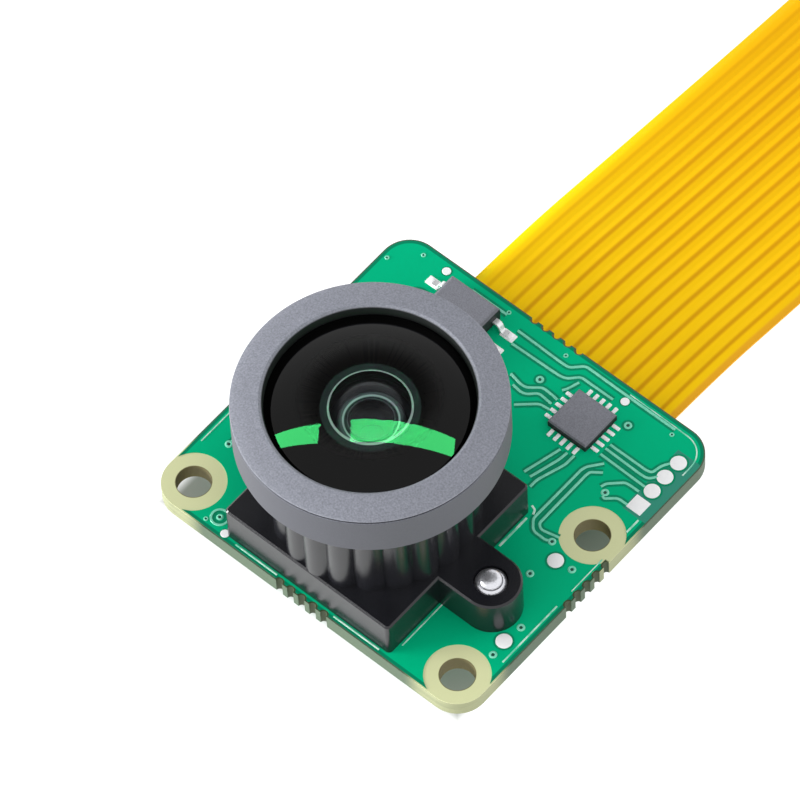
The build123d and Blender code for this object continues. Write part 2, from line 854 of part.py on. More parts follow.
# Near fingers: the bare conductor ends that the connector's contacts touch
with BuildPart() as cable_near_fingers:
    with BuildSketch(Plane.XY.offset(cable_z + cable_t / 2)):
        with Locations((0, cable_tip_y + finger_l / 2)):
            with GridLocations(contact_pitch, 1, contact_count, 1):
                Rectangle(finger_w, finger_l)
    extrude(amount=finger_t)
cable_near_fingers.part.label = "cable_near_fingers"
export_step(cable_near_fingers.part, "parts/cable_near_fingers.step")


# Far stiffener: the same kind of strip under the free end
with BuildPart() as cable_far_stiffener:
    with BuildSketch(Plane.XY.offset(cable_rest_z - cable_t / 2)):
        with Locations((cable_end_x, cable_end_y - far_stiffener_l / 2)):
            Rectangle(cable_w, far_stiffener_l)
    extrude(amount=-stiffener_t)
cable_far_stiffener.part.label = "cable_far_stiffener"
export_step(cable_far_stiffener.part, "parts/cable_far_stiffener.step")


# Far fingers: the bare conductor ends at the free end
with BuildPart() as cable_far_fingers:
    with BuildSketch(Plane.XY.offset(cable_rest_z + cable_t / 2)):
        with Locations((cable_end_x, cable_end_y - finger_l / 2)):
            with GridLocations(contact_pitch, 1, contact_count, 1):
                Rectangle(finger_w, finger_l)
    extrude(amount=finger_t)
cable_far_fingers.part.label = "cable_far_fingers"
export_step(cable_far_fingers.part, "parts/cable_far_fingers.step")
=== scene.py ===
import bmesh
import bpy
import math
import random
from mathutils import Matrix, Quaternion, Vector


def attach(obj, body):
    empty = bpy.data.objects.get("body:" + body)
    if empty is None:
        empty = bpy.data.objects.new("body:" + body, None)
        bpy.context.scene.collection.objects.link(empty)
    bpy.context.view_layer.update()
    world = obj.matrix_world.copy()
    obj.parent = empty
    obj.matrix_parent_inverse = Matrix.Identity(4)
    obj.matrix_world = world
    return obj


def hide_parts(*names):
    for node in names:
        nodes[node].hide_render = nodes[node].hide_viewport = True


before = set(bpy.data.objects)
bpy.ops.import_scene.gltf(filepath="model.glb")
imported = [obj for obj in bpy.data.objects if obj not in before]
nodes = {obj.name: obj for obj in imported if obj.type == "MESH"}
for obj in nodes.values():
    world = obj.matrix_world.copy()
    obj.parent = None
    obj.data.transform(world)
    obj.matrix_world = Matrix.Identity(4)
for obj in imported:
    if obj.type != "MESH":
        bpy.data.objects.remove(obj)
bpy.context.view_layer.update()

scene = bpy.context.scene
mm = 0.001


# Camera: stands well back from the module's right front corner and looks down at it
# through a long lens, turned a little about its own axis, as in the photograph.
camera_place = Vector((0.16849, -0.17412, 0.40650))
camera_aim = Vector((-0.00193, 0.00326, 0.0076))
camera_turn = Quaternion((0, 0, 1), math.radians(-3.634))
camera_lens = bpy.data.cameras.new("camera")
camera_lens.lens = 352.26
camera_lens.sensor_width = 36.0
camera = bpy.data.objects.new("camera", camera_lens)
camera_level = (camera_aim - camera_place).to_track_quat("-Z", "Y")
camera.matrix_world = (
    Matrix.Translation(camera_place) @ (camera_level @ camera_turn).to_matrix().to_4x4()
)
scene.collection.objects.link(camera)
scene.camera = camera


# Ribbon cable: fifteen flat copper conductors between two films of yellow polyester.
# It leaves the connector under the board, comes down to the table and runs out straight.
# The conductors stand up as low bands, with the bare glued film as lines between them.
def screen(red, green, blue):
    """A screen colour, each part from 0 to 255, as the shader's linear colour."""
    parts = [part / 255 for part in (red, green, blue)]
    linear = [part / 12.92 if part < 0.04 else ((part + 0.055) / 1.055) ** 2.4 for part in parts]
    return (*linear, 1.0)


class Shade:
    """A node's output socket. Arithmetic on it adds Math nodes to its finish."""

    def __init__(self, finish, socket):
        self.finish = finish
        self.socket = socket

    def maths(self, operation, first, second):
        return self.finish.node("ShaderNodeMath", {"operation": operation}, {0: first, 1: second})

    def __add__(self, other):
        return self.maths("ADD", self, other)

    def __radd__(self, other):
        return self.maths("ADD", other, self)

    def __sub__(self, other):
        return self.maths("SUBTRACT", self, other)

    def __rsub__(self, other):
        return self.maths("SUBTRACT", other, self)

    def __mul__(self, other):
        return self.maths("MULTIPLY", self, other)

    def __rmul__(self, other):
        return self.maths("MULTIPLY", other, self)

    def __mod__(self, other):
        return self.maths("FLOORED_MODULO", self, other)

    def __abs__(self):
        return self.maths("ABSOLUTE", self, 0.0)

    def at_least(self, other):
        return self.maths("MAXIMUM", self, other)

    def at_most(self, other):
        return self.maths("MINIMUM", self, other)

    def root(self):
        return self.maths("SQRT", self, 0.0)


class Finish:
    """A node material. Its patterns are measured in millimetres of Object coordinates."""

    def __init__(self, name, roughness=0.5, metallic=0.0, constants=None):
        self.material = bpy.data.materials.new(name)
        self.material.use_nodes = True
        self.tree = self.material.node_tree
        self.shader = self.tree.nodes["Principled BSDF"]
        self.shader.inputs["Roughness"].default_value = roughness
        self.shader.inputs["Metallic"].default_value = metallic
        for socket, value in (constants or {}).items():
            self.shader.inputs[socket].default_value = value

    def node(self, kind, settings=None, values=None, output=0):
        """Adds a node: its settings come first, then the values or links of its sockets."""
        made = self.tree.nodes.new(kind)
        for name, value in (settings or {}).items():
            if name == "stops":
                ramp = made.color_ramp
                while len(ramp.elements) < len(value):
                    ramp.elements.new(0.5)
                for stop, (position, colour) in zip(ramp.elements, value):
                    stop.position = position
                    stop.color = colour
            else:
                setattr(made, name, value)
        for name, value in (values or {}).items():
            self.put(made.inputs[name], value)
        return Shade(self, made.outputs[output])

    def put(self, socket, value):
        """Links a shade to a socket, or sets the socket to a plain value."""
        if isinstance(value, Shade):
            self.tree.links.new(value.socket, socket)
        else:
            socket.default_value = value

    def give(self, **sockets):
        """Feeds the shader's own sockets, named with underscores for spaces."""
        for name, value in sockets.items():
            self.put(self.shader.inputs[name.replace("_", " ")], value)
        return self

    def place(self, stretch=(1.0, 1.0, 1.0), centre=(0.0, 0.0, 0.0)):
        """Object coordinates in millimetres from a centre, each axis stretched if need be."""
        object_place = self.node("ShaderNodeTexCoord", output="Object")
        scale = tuple(part / mm for part in stretch)
        shift = tuple(-c * part for c, part in zip(centre, stretch))
        return self.node(
            "ShaderNodeMapping", {}, {"Vector": object_place, "Scale": scale, "Location": shift}
        )

    def axes(self, place):
        """The three parts of a place."""
        parts = self.node("ShaderNodeSeparateXYZ", {}, {0: place})
        outputs = parts.socket.node.outputs
        return [Shade(self, outputs[part]) for part in range(3)]

    def noise(self, size, detail=2.0, stretch=(1.0, 1.0, 1.0)):
        """Soft random blotches of about a size in millimetres, from 0 to 1."""
        settings = {"noise_dimensions": "3D"}
        values = {"Vector": self.place(stretch), "Scale": 1 / size, "Detail": detail}
        return self.node("ShaderNodeTexNoise", settings, values, output="Fac")

    def step(self, value, low, high):
        """0 below low, 1 above high, and smooth between. Low may be the larger one."""
        settings = {"interpolation_type": "SMOOTHSTEP"}
        if low > high:
            values = {"Value": value, "From Min": high, "From Max": low, "To Min": 1.0, "To Max": 0.0}
        else:
            values = {"Value": value, "From Min": low, "From Max": high}
        return self.node("ShaderNodeMapRange", settings, values)

    def mix(self, mask, first, second):
        """The first colour where the mask is 0 and the second where it is 1."""
        settings = {"data_type": "RGBA"}
        return self.node("ShaderNodeMix", settings, {"Factor": mask, 6: first, 7: second}, output=2)

    def reach(self, centre, flat=True):
        """The distance in millimetres from an upright line through a centre, or from the centre."""
        stretch = (1.0, 1.0, 0.0) if flat else (1.0, 1.0, 1.0)
        away = self.place(stretch, (*centre, 0.0) if flat else centre)
        return self.node("ShaderNodeVectorMath", {"operation": "LENGTH"}, {0: away}, output="Value")

    def bump(self, height, depth):
        """A surface raised by up to a depth in millimetres where the height is 1."""
        values = {"Height": height, "Distance": depth * mm, "Strength": 1.0}
        return self.give(Normal=self.node("ShaderNodeBump", {}, values, output="Normal"))

    def grained(self, grain, low, high, smooth, spread, depth=0.0):
        """Drifts from one screen colour to another with a grain, which also dulls the surface
        from smooth by up to a spread, and lifts it by up to a depth if there is one."""
        colour = self.mix(grain, screen(*low), screen(*high))
        self.give(Base_Color=colour, Roughness=smooth + spread * grain)
        return self.bump(grain, depth) if depth else self


def make_piece(name, mesh, finish, body, crease=32.0):
    """Turns a bmesh into a smooth-shaded piece with a finish, which rides on a body."""
    for face in mesh.faces:
        face.smooth = True
    data = bpy.data.meshes.new(name)
    mesh.to_mesh(data)
    mesh.free()
    data.set_sharp_from_angle(angle=math.radians(crease))
    data.materials.append(finish.material)
    made = bpy.data.objects.new(name, data)
    scene.collection.objects.link(made)
    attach(made, body)
    return made


def dress(node_name, finish):
    """Gives a CAD node's object its finish."""
    for held in nodes[node_name].material_slots:
        held.material = finish.material


ribbon_route = [
    (0.0, 0.01115, -0.0014),
    (0.0, 0.01995, -0.0014),
    (0.00035, 0.02995, -0.00235),
    (0.0015, 0.04595, -0.00235),
    (0.003, 0.07495, -0.00235),
    (0.0041, 0.11895, -0.00235),
    (0.0041, 0.16095, -0.00235),
]
ribbon_w = 16.0
ribbon_t = 0.2
conductor_count = 15
conductor_half = 0.30
conductor_slope = 0.13
conductor_rise = 0.04

route_curve = bpy.data.curves.new("ribbon_route", "CURVE")
route_curve.dimensions = "3D"
route_curve.resolution_u = 20
route_line = route_curve.splines.new("NURBS")
route_line.points.add(len(ribbon_route) - 1)
for route_point, place in zip(route_line.points, ribbon_route):
    route_point.co = (*place, 1.0)
route_line.order_u = 3
route_line.use_endpoint_u = True
route_object = bpy.data.objects.new("ribbon_route", route_curve)
scene.collection.objects.link(route_object)
bpy.context.view_layer.update()
route_mesh = bpy.data.meshes.new_from_object(route_object)
ribbon_path = [vertex.co.copy() for vertex in route_mesh.vertices]
bpy.data.objects.remove(route_object)

ribbon_columns = [(-ribbon_w / 2, 0.0)]
for conductor in range(conductor_count):
    middle = conductor - (conductor_count - 1) / 2
    inner, outer = conductor_half, conductor_half + conductor_slope
    for across, rise in ((-outer, 0.0), (-inner, 1.0), (inner, 1.0), (outer, 0.0)):
        ribbon_columns.append((middle + across, rise * conductor_rise))
ribbon_columns.append((ribbon_w / 2, 0.0))
ribbon_runs = [0.0]
for before, here in zip(ribbon_path, ribbon_path[1:]):
    ribbon_runs.append(ribbon_runs[-1] + (here - before).length)

ribbon_mesh = bmesh.new()
bmesh.ops.create_grid(
    ribbon_mesh,
    x_segments=len(ribbon_columns) - 1,
    y_segments=len(ribbon_path) - 1,
    size=1.0,
    calc_uvs=False,
)
ribbon_uv = ribbon_mesh.loops.layers.uv.new("ribbon")
for vertex in ribbon_mesh.verts:
    column = round((vertex.co.x + 1) / 2 * (len(ribbon_columns) - 1))
    row = round((vertex.co.y + 1) / 2 * (len(ribbon_path) - 1))
    across, rise = ribbon_columns[column]
    run = ribbon_runs[row] / mm
    for loop in vertex.link_loops:
        loop[ribbon_uv].uv = (across, run)
    before = ribbon_path[max(row - 1, 0)]
    after = ribbon_path[min(row + 1, len(ribbon_path) - 1)]
    along = (after - before).normalized()
    sideways = along.cross(Vector((0, 0, 1))).normalized()
    upward = sideways.cross(along)
    vertex.co = ribbon_path[row] + sideways * across * mm + upward * rise * mm

ribbon_finish = Finish("ribbon_film", 0.38, constants={"Specular IOR Level": 0.08})
ribbon_place = ribbon_finish.node("ShaderNodeUVMap", {"uv_map": "ribbon"})
ribbon_x, ribbon_run, _ = ribbon_finish.axes(ribbon_place)
off_conductor = abs((ribbon_x + 0.5) % 1.0 - 0.5)
gap_fade = 0.45 + 0.55 * ribbon_finish.step(ribbon_x, -8.0, -3.0)
gap_tone = ribbon_finish.step(off_conductor, 0.24, 0.03) * ribbon_finish.step(abs(ribbon_x), 7.3, 7.0)
film_drift = ribbon_finish.noise(5.0, 2.0)
film_base = ribbon_finish.mix(film_drift, screen(255, 202, 6), screen(255, 210, 14))
left_margin = ribbon_finish.step(ribbon_x, -7.3, -7.6)
right_margin = ribbon_finish.step(ribbon_x, 7.45, 7.7)
film_base = ribbon_finish.mix(left_margin, film_base, screen(255, 218, 0))
film_base = ribbon_finish.mix(right_margin, film_base, screen(240, 172, 34))
# Painted shade: further along its run, away from the board, the film is painted a darker yellow.
film_base = ribbon_finish.mix(
    ribbon_finish.step(ribbon_run, 8.0, 36.0), film_base, screen(241, 180, 10)
)
film_colour = ribbon_finish.mix(gap_tone * gap_fade * 0.85, film_base, screen(214, 146, 10))
film_scuff = ribbon_finish.noise(0.35, 3.0)
ribbon_finish.give(Base_Color=film_colour, Roughness=0.32 + 0.16 * film_scuff)
ribbon_finish.bump(film_scuff, 0.01)

ribbon = make_piece("ribbon", ribbon_mesh, ribbon_finish, "module")
ribbon_film = ribbon.modifiers.new("film", "SOLIDIFY")
ribbon_film.thickness = ribbon_t * mm
ribbon_film.offset = 0.0
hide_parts("ribbon_cable")

stiffener_finish = Finish("stiffener_blue", 0.42)
stiffener_grain = stiffener_finish.noise(0.8, 4.0)
stiffener_finish.grained(stiffener_grain, (28, 84, 190), (46, 104, 205), 0.36, 0.15, 0.01)
dress("cable_near_stiffener", stiffener_finish)
dress("cable_far_stiffener", stiffener_finish)

gold_finish = Finish("gold_contact", 0.28, metallic=1.0)
gold_rub = gold_finish.noise(0.3, 4.0, (0.25, 1.0, 1.0))
gold_finish.grained(gold_rub, (226, 178, 92), (250, 214, 138), 0.2, 0.22, 0.006)
dress("cable_near_fingers", gold_finish)
dress("cable_far_fingers", gold_finish)


# Table and light: a pale acrylic table lit softly from below, with a painted shadow under the board,
# a pale sky with a darker part above and behind the module, one soft lamp low on the left, and
# two long tubes above, which light only the front glass.
table_z = -2.61
painted_shadow_centre = (-0.9, 2.4, 0.0)
painted_shadow_half_x = 11.2
painted_shadow_half_y = 8.7
painted_shadow_fade = 1.2
sky_strength = 1.10
dark_strength = 0.30
dark_direction = (-0.355, 0.371, 0.857)
dark_edge = (0.80, 0.93)

table_mesh = bmesh.new()
bmesh.ops.create_grid(table_mesh, x_segments=4, y_segments=4, size=3.0)
bmesh.ops.translate(table_mesh, vec=(0, 0, table_z * mm), verts=table_mesh.verts)
table_data = bpy.data.meshes.new("table")
table_mesh.to_mesh(table_data)
table_mesh.free()
table_finish = Finish(
    "table_acrylic",
    0.8,
    constants={"Specular IOR Level": 0.05, "Emission Strength": 0.9},
)
table_mottle = table_finish.noise(40.0, 3.0)
table_colour = table_finish.mix(table_mottle, screen(176, 176, 176), screen(184, 184, 184))
# Painted shadow: under the board the table is painted grey and its glow is cut down, so the holes
# look into shade.
table_x, table_y, _ = table_finish.axes(table_finish.place(centre=painted_shadow_centre))
past_painted_shadow = (abs(table_x) - painted_shadow_half_x).at_least(abs(table_y) - painted_shadow_half_y)
open_table = table_finish.step(past_painted_shadow, 0.0, painted_shadow_fade)
table_glow = table_finish.mix(table_mottle, screen(244, 244, 244), screen(252, 252, 252))
table_finish.give(
    Base_Color=table_finish.mix(open_table, screen(140, 142, 136), table_colour),
    Emission_Color=table_finish.mix(open_table, screen(54, 56, 52), table_glow),
)
table_data.materials.append(table_finish.material)
table = bpy.data.objects.new("table", table_data)
scene.collection.objects.link(table)

sky = bpy.data.worlds.new("studio")
sky.use_nodes = True
sky_nodes = sky.node_tree.nodes
sky_links = sky.node_tree.links
sky_direction = sky_nodes.new("ShaderNodeTexCoord")
toward_dark = sky_nodes.new("ShaderNodeVectorMath")
toward_dark.operation = "DOT_PRODUCT"
toward_dark.inputs[1].default_value = dark_direction
sky_links.new(sky_direction.outputs["Generated"], toward_dark.inputs[0])
sky_shade = sky_nodes.new("ShaderNodeMapRange")
sky_shade.interpolation_type = "SMOOTHSTEP"
sky_shade.inputs["From Min"].default_value, sky_shade.inputs["From Max"].default_value = dark_edge
sky_shade.inputs["To Min"].default_value = sky_strength
sky_shade.inputs["To Max"].default_value = dark_strength
sky_links.new(toward_dark.outputs["Value"], sky_shade.inputs["Value"])
sky_links.new(sky_shade.outputs[0], sky_nodes["Background"].inputs["Strength"])
sky_nodes["Background"].inputs["Color"].default_value = (1.0, 1.0, 1.0, 1.0)
scene.world = sky
scene.view_settings.view_transform = "Standard"


def hang_lamp(name, width, length, watts, place, turned):
    """A soft rectangular lamp at a place, turned by a rotation from facing straight down."""
    light = bpy.data.lights.new(name, "AREA")
    light.shape = "RECTANGLE"
    light.size = width
    light.size_y = length
    light.energy = watts
    lamp = bpy.data.objects.new(name, light)
    lamp.matrix_world = Matrix.Translation(place) @ turned.to_4x4()
    scene.collection.objects.link(lamp)
    return lamp


left_place = Vector((-0.45, -0.42, 0.05))
left_aim = Vector((0.0, 0.0, 0.008))
left_turned = (left_aim - left_place).to_track_quat("-Z", "Y").to_matrix()
left_lamp = hang_lamp("left_lamp", 0.3, 0.3, 7.4, left_place, left_turned)

away = Vector((camera_aim.x - camera_place.x, camera_aim.y - camera_place.y, 0)).normalized()
across_view = away.cross(Vector((0, 0, 1)))
tube_z = 0.5155
tube_tint = (0.07, 1.0, 0.25)
tube_glow = 46.0
tubes = []
for side, (along_view, beyond, tube_l, tube_w, tube_turn) in {
    "left": (-0.475, 0.158, 0.45, 0.105, -13.5),
    "right": (0.177, 0.052, 0.55, 0.115, -6.0),
}.items():
    tube_x = Quaternion((0, 0, 1), math.radians(tube_turn)) @ across_view
    tube_y = Vector((0, 0, 1)).cross(tube_x)
    turned = Matrix((tube_x, tube_y, Vector((0, 0, 1)))).transposed()
    place = across_view * along_view + away * beyond + Vector((0, 0, tube_z))
    watts = tube_glow * math.pi * tube_l * tube_w
    tube = hang_lamp(f"{side}_tube", tube_l, tube_w, watts, place, turned)
    tube.data.color = tube_tint
    tube.visible_diffuse = False
    tube.visible_transmission = False
    tubes.append(tube)


# Circuit board: glass-epoxy laminate, 1.2 mm thick, drilled and routed to shape. It shows bare
# at the cut edges, in the holes and in a wide ring round each mounting hole.
board_w = 25.0
board_l = 24.0
board_t = 1.2
board_middle_y = 3.75
corner_r = 2.0
front_edge_y = board_middle_y - board_l / 2
side_edge_x = board_w / 2
hole_x = 10.5
hole_y = 6.25
hole_r = 1.1
ring_r = 2.05
front_bites_x = -0.13
side_bites_y = 3.41
hole_places = [(x, y) for x in (-hole_x, hole_x) for y in (-hole_y, hole_y)]

laminate = Finish("laminate", 0.5, constants={"Specular IOR Level": 0.25})
near_hole = 0.0
in_hole = 0.0
for hole in hole_places:
    to_hole = laminate.reach(hole)
    near_hole = near_hole + laminate.step(to_hole, 3.3, 2.1)
    in_hole = in_hole + laminate.step(to_hole, hole_r + 0.06, hole_r + 0.01)
board_x, board_y, board_z = laminate.axes(laminate.place())
from_front = board_y - front_edge_y
from_side = side_edge_x - board_x
along_front = laminate.step(from_front, 0.02, 0.05) * laminate.step(from_front, 0.35, 0.30)
along_front = along_front * laminate.step(abs(board_x - front_bites_x), 2.1, 2.0)
along_side = laminate.step(from_side, 0.02, 0.05) * laminate.step(from_side, 0.35, 0.30)
along_side = along_side * laminate.step(abs(board_y - side_bites_y), 2.1, 2.0)
in_bites = along_front + along_side
layers = laminate.noise(1.0, 3.0, (0.35, 0.35, 4.0))
fibres = laminate.noise(0.12, 3.0)
edge_colour = laminate.mix(near_hole, screen(70, 92, 72), screen(156, 160, 120))
edge_colour = laminate.mix(laminate.step(layers, 0.4, 0.65) * 0.22, edge_colour, screen(56, 76, 56))
edge_colour = laminate.mix(fibres * 0.12, edge_colour, screen(206, 208, 180))
top_face = laminate.step(board_z, board_t - 0.05, board_t - 0.01)
edge_colour = laminate.mix(top_face * near_hole, edge_colour, screen(216, 220, 170))
edge_colour = laminate.mix(in_bites, edge_colour, screen(66, 78, 52))
laminate.give(
    Base_Color=laminate.mix(in_hole, edge_colour, screen(112, 104, 66)),
    Roughness=0.42 + 0.2 * fibres,
)
laminate.bump(layers * 0.5 + fibres * 0.5, 0.012)
dress("circuit_board", laminate)


# Solder mask: the green lacquer on both faces, a little short of the board's cut edges and
# opened round the mounting holes. It darkens where no copper lies under it, along the edges
# and beside the right-hand row of pads.
weld_gap = 1e-7
level_gap = 1e-6
flat_angle = 0.01
mask_t = 0.03
mask_border = 0.09
copper_border = 0.30
green = Finish("green_mask", 0.34, constants={"Specular IOR Level": 0.06})
green_x, green_y, _ = green.axes(green.place())
past_corner_x = abs(green_x) - (board_w / 2 - corner_r)
past_corner_y = abs(green_y - board_middle_y) - (board_l / 2 - corner_r)
corner_x = past_corner_x.at_least(0.0)
corner_y = past_corner_y.at_least(0.0)
round_part = (corner_x * corner_x + corner_y * corner_y).root()
straight_part = past_corner_x.at_least(past_corner_y).at_most(0.0)
from_edge = corner_r - round_part - straight_part
no_copper = green.step(from_edge, copper_border + 0.02, copper_border - 0.03)
beside_pads = green.step(green_x, 10.62, 10.66) * green.step(green_y, 8.86, 8.9)
beside_pads = beside_pads * green.step(green_y, 14.2, 14.1)
green_drift = green.noise(8.0, 2.0)
green_fine = green.noise(0.35, 4.0)
green_base = green.mix(green_drift, screen(0, 180, 127), screen(0, 187, 134))
green_base = green.mix(green_fine * 0.3, green_base, screen(0, 168, 116))
green_base = green.mix(no_copper, green_base, screen(8, 132, 96))
green_base = green.mix(beside_pads, green_base, screen(58, 146, 124))
green.give(Base_Color=green_base, Roughness=0.26 + 0.14 * green_fine)
green.bump(green_fine, 0.008)


def cut_face(node_name, level, rise, border):
    """A node's flat face at a level, drawn in by a border and thickened by a rise, as a bmesh."""
    mesh = bmesh.new()
    mesh.from_mesh(nodes[node_name].data)
    bmesh.ops.remove_doubles(mesh, verts=mesh.verts, dist=weld_gap)
    off_level = [vert for vert in mesh.verts if abs(vert.co.z - level * mm) > level_gap]
    bmesh.ops.delete(mesh, geom=off_level, context="VERTS")
    bmesh.ops.dissolve_limit(mesh, angle_limit=flat_angle, verts=mesh.verts, edges=mesh.edges)
    rim = bmesh.ops.inset_region(
        mesh, faces=mesh.faces, thickness=border * mm, use_boundary=True, use_even_offset=True
    )
    bmesh.ops.delete(mesh, geom=rim["faces"], context="FACES")
    raised = bmesh.ops.extrude_face_region(mesh, geom=list(mesh.faces))
    lifted = [part for part in raised["geom"] if isinstance(part, bmesh.types.BMVert)]
    bmesh.ops.translate(mesh, vec=(0, 0, rise * mm), verts=lifted)
    bmesh.ops.recalc_face_normals(mesh, faces=mesh.faces)
    return mesh


def cut_away(piece, cutter_mesh, crossing=False):
    """Cuts the form of a cutter, whose own blocks may cross each other, out of a piece."""
    cutter_data = bpy.data.meshes.new("cutter")
    cutter_mesh.to_mesh(cutter_data)
    cutter_mesh.free()
    cutter = bpy.data.objects.new("cutter", cutter_data)
    scene.collection.objects.link(cutter)
    cut = piece.modifiers.new("cut", "BOOLEAN")
    cut.operation = "DIFFERENCE"
    cut.solver = "EXACT"
    cut.use_self = crossing
    cut.object = cutter
    bpy.context.view_layer.update()
    seen = piece.evaluated_get(bpy.context.evaluated_depsgraph_get())
    opened = bpy.data.meshes.new_from_object(seen)
    piece.modifiers.remove(cut)
    piece.data = opened
    bpy.data.objects.remove(cutter)


def open_rings(piece, radius, level):
    """Cuts a round opening about every mounting hole out of a thin piece."""
    cutter_mesh = bmesh.new()
    for x, y in hole_places:
        bmesh.ops.create_cone(
            cutter_mesh,
            cap_ends=True,
            segments=72,
            radius1=radius * mm,
            radius2=radius * mm,
            depth=0.4 * mm,
            matrix=Matrix.Translation((x * mm, y * mm, level * mm)),
        )
    cut_away(piece, cutter_mesh)


for face_name, level, rise in (("mask_front", board_t, mask_t), ("mask_rear", 0.0, -mask_t)):
    face_mesh = cut_face("circuit_board", level, rise, mask_border)
    mask = make_piece(face_name, face_mesh, green, "module")
    open_rings(mask, ring_r, level)


# Tracks on the front: copper lines under the lacquer, which stand up a little. Their pale mint
# colour is partly the lacquer over copper and partly a painted highlight.
# On both sides of each one the copper round it is etched away, which leaves a darker gap.
mask_top = board_t + mask_t
track_w = 0.2
gap_w = 0.14
track_rise = 0.035
gap_rise = 0.003
mint = Finish("covered_track", 0.3, constants={"Specular IOR Level": 0.5})
mint.grained(mint.noise(0.4, 3.0), (100, 206, 172), (146, 230, 202), 0.22, 0.16, 0.006)
etched = Finish("etched_gap", 0.4, constants={"Specular IOR Level": 0.12})
etched.grained(etched.noise(0.4, 3.0), (0, 130, 93), (6, 148, 107), 0.32, 0.16, 0.006)

tracks = [
    [(-2.34, 14.46), (1.08, 14.39), (1.78, 14.41), (2.51, 15.15), (5.74, 15.12), (9.6, 15.12)],
    [(-2.02, 13.51), (1.75, 13.6), (2.19, 13.73), (2.78, 14.36), (5.31, 14.36)],
    [(-0.67, 11.83), (0.31, 11.62), (0.73, 11.69), (1.48, 12.31), (2.32, 12.26), (2.72, 12.2)],
    [(-0.06, 11.31), (0.66, 11.21), (1.03, 11.33), (1.55, 11.85), (2.62, 11.75)],
    [(0.91, 10.26), (2.08, 11.3), (2.8, 11.36)],
    [(2.51, 12.9), (2.7, 13.22), (2.94, 13.98)],
    [(5.12, 9.62), (4.45, 7.02)],
    [(5.6, 9.7), (5.53, 9.02), (4.96, 6.98)],
    [(6.06, 9.81), (6.04, 8.98), (5.42, 7.09), (5.41, 6.44)],
    [(7.81, 10.54), (7.15, 9.72), (7.03, 9.36), (7.0, 4.84), (7.55, 4.2), (8.51, 4.18), (8.75, 4.3)],
    [(8.17, 10.01), (7.54, 9.54), (7.49, 9.25), (7.5, 4.81), (7.87, 4.56), (9.07, 4.83)],
    [(7.25, 11.8), (10.08, 11.8), (10.45, 11.9), (10.6, 12.66), (10.88, 13.08)],
    [(7.2, 11.42), (9.98, 11.36), (10.53, 11.4), (10.9, 11.9)],
    [(7.22, 10.92), (10.75, 10.85)],
    [(8.71, 9.18), (8.81, 9.53), (9.65, 10.32), (10.02, 10.37), (10.7, 10.37)],
    [(9.22, 8.72), (9.39, 8.65), (10.02, 9.21), (10.75, 9.21)],
    [(-6.4, 14.9), (-3.6, 14.9)],
    [(-9.6, 9.4), (-9.6, 12.2), (-8.9, 12.9), (-8.1, 12.9)],
    [(-11.2, 8.6), (-11.2, 2.2), (-10.6, 1.5), (-10.6, -2.8)],
]


def round_bends(path, radius):
    """The points of a path with a short curve in place of each bend."""
    smooth = [Vector(path[0])]
    for corners in zip(path, path[1:], path[2:]):
        before, here, after = [Vector(corner) for corner in corners]
        cut = min(radius, (here - before).length * 0.45, (after - here).length * 0.45)
        start = here + (before - here).normalized() * cut
        end = here + (after - here).normalized() * cut
        for step in range(5):
            share = step / 4
            smooth.append(start.lerp(here, share).lerp(here.lerp(end, share), share))
    return smooth + [Vector(path[-1])]


def strip_grid(mesh, rows):
    """Adds a closed flat strip of some rows. Gives its lower and its upper points."""
    flat = bmesh.ops.create_grid(mesh, x_segments=1, y_segments=rows, size=1.0)["verts"]
    faces = list({face for vert in flat for face in vert.link_faces})
    raised = bmesh.ops.extrude_face_region(mesh, geom=faces)["geom"]
    return flat, [part for part in raised if isinstance(part, bmesh.types.BMVert)]


def lay_strip(mesh, path, width, low, high, slope=0.04, radius=0.25):
    """Adds a closed flat strip that follows a path, with sides that slope in towards high."""
    line = round_bends(path, radius)
    last = len(line) - 1
    flat, lifted = strip_grid(mesh, last)
    for verts, half, level in ((flat, width / 2, low), (lifted, width / 2 - slope, high)):
        for vert in verts:
            row = round((vert.co.y + 1) / 2 * last)
            along = (line[min(row + 1, last)] - line[max(row - 1, 0)]).normalized()
            side = half if vert.co.x > 0 else -half
            place = line[row] + Vector((along.y, -along.x)) * side
            vert.co = Vector((place.x, place.y, level)) * mm


def finish_mesh(mesh):
    """Merges doubled points and turns every face outwards."""
    bmesh.ops.remove_doubles(mesh, verts=mesh.verts, dist=weld_gap)
    bmesh.ops.recalc_face_normals(mesh, faces=mesh.faces)
    return mesh


track_mesh = bmesh.new()
gap_mesh = bmesh.new()
for number, track in enumerate(tracks):
    lay_strip(track_mesh, track, track_w, mask_top - 0.01, mask_top + track_rise)
    gap_top = mask_top + gap_rise + number * 0.0002
    lay_strip(gap_mesh, track, track_w + 2 * gap_w, mask_top - 0.01, gap_top, 0.003)


# Vias: small plated holes under the lacquer, each a low ring about a dark pit. The first two
# stand alone in the copper, with an etched gap round them, and one has a second ring.
via_ring = [(0.1, -0.02), (0.11, 0.02), (0.15, 0.045), (0.2, 0.045), (0.25, 0.02), (0.27, -0.02)]
via_pit = [(0.0, 0.008), (0.115, 0.008), (0.115, -0.02), (0.0, -0.02)]
via_gap = [(0.25, -0.01), (0.25, 0.008), (0.40, 0.008), (0.40, -0.01)]
outer_ring = [(0.46, -0.02), (0.48, 0.03), (0.60, 0.03), (0.64, -0.02)]
ringed_via = (-7.61, -7.12)
vias = [
    (0.97, 12.63), (7.2, 13.53), (9.17, 9.01), (8.92, 4.35), (9.34, 1.8), (11.1, 3.62),
    (11.34, -1.39), (11.26, -3.87), (-11.2, 8.7), (-9.6, 9.3), (-10.6, -2.9),
]
small_vias = [
    (-3.61, 15.1), (1.08, 14.95), (9.66, 14.73), (-10.37, 14.94), (-11.98, 13.37),
    (-8.19, -7.74),
]


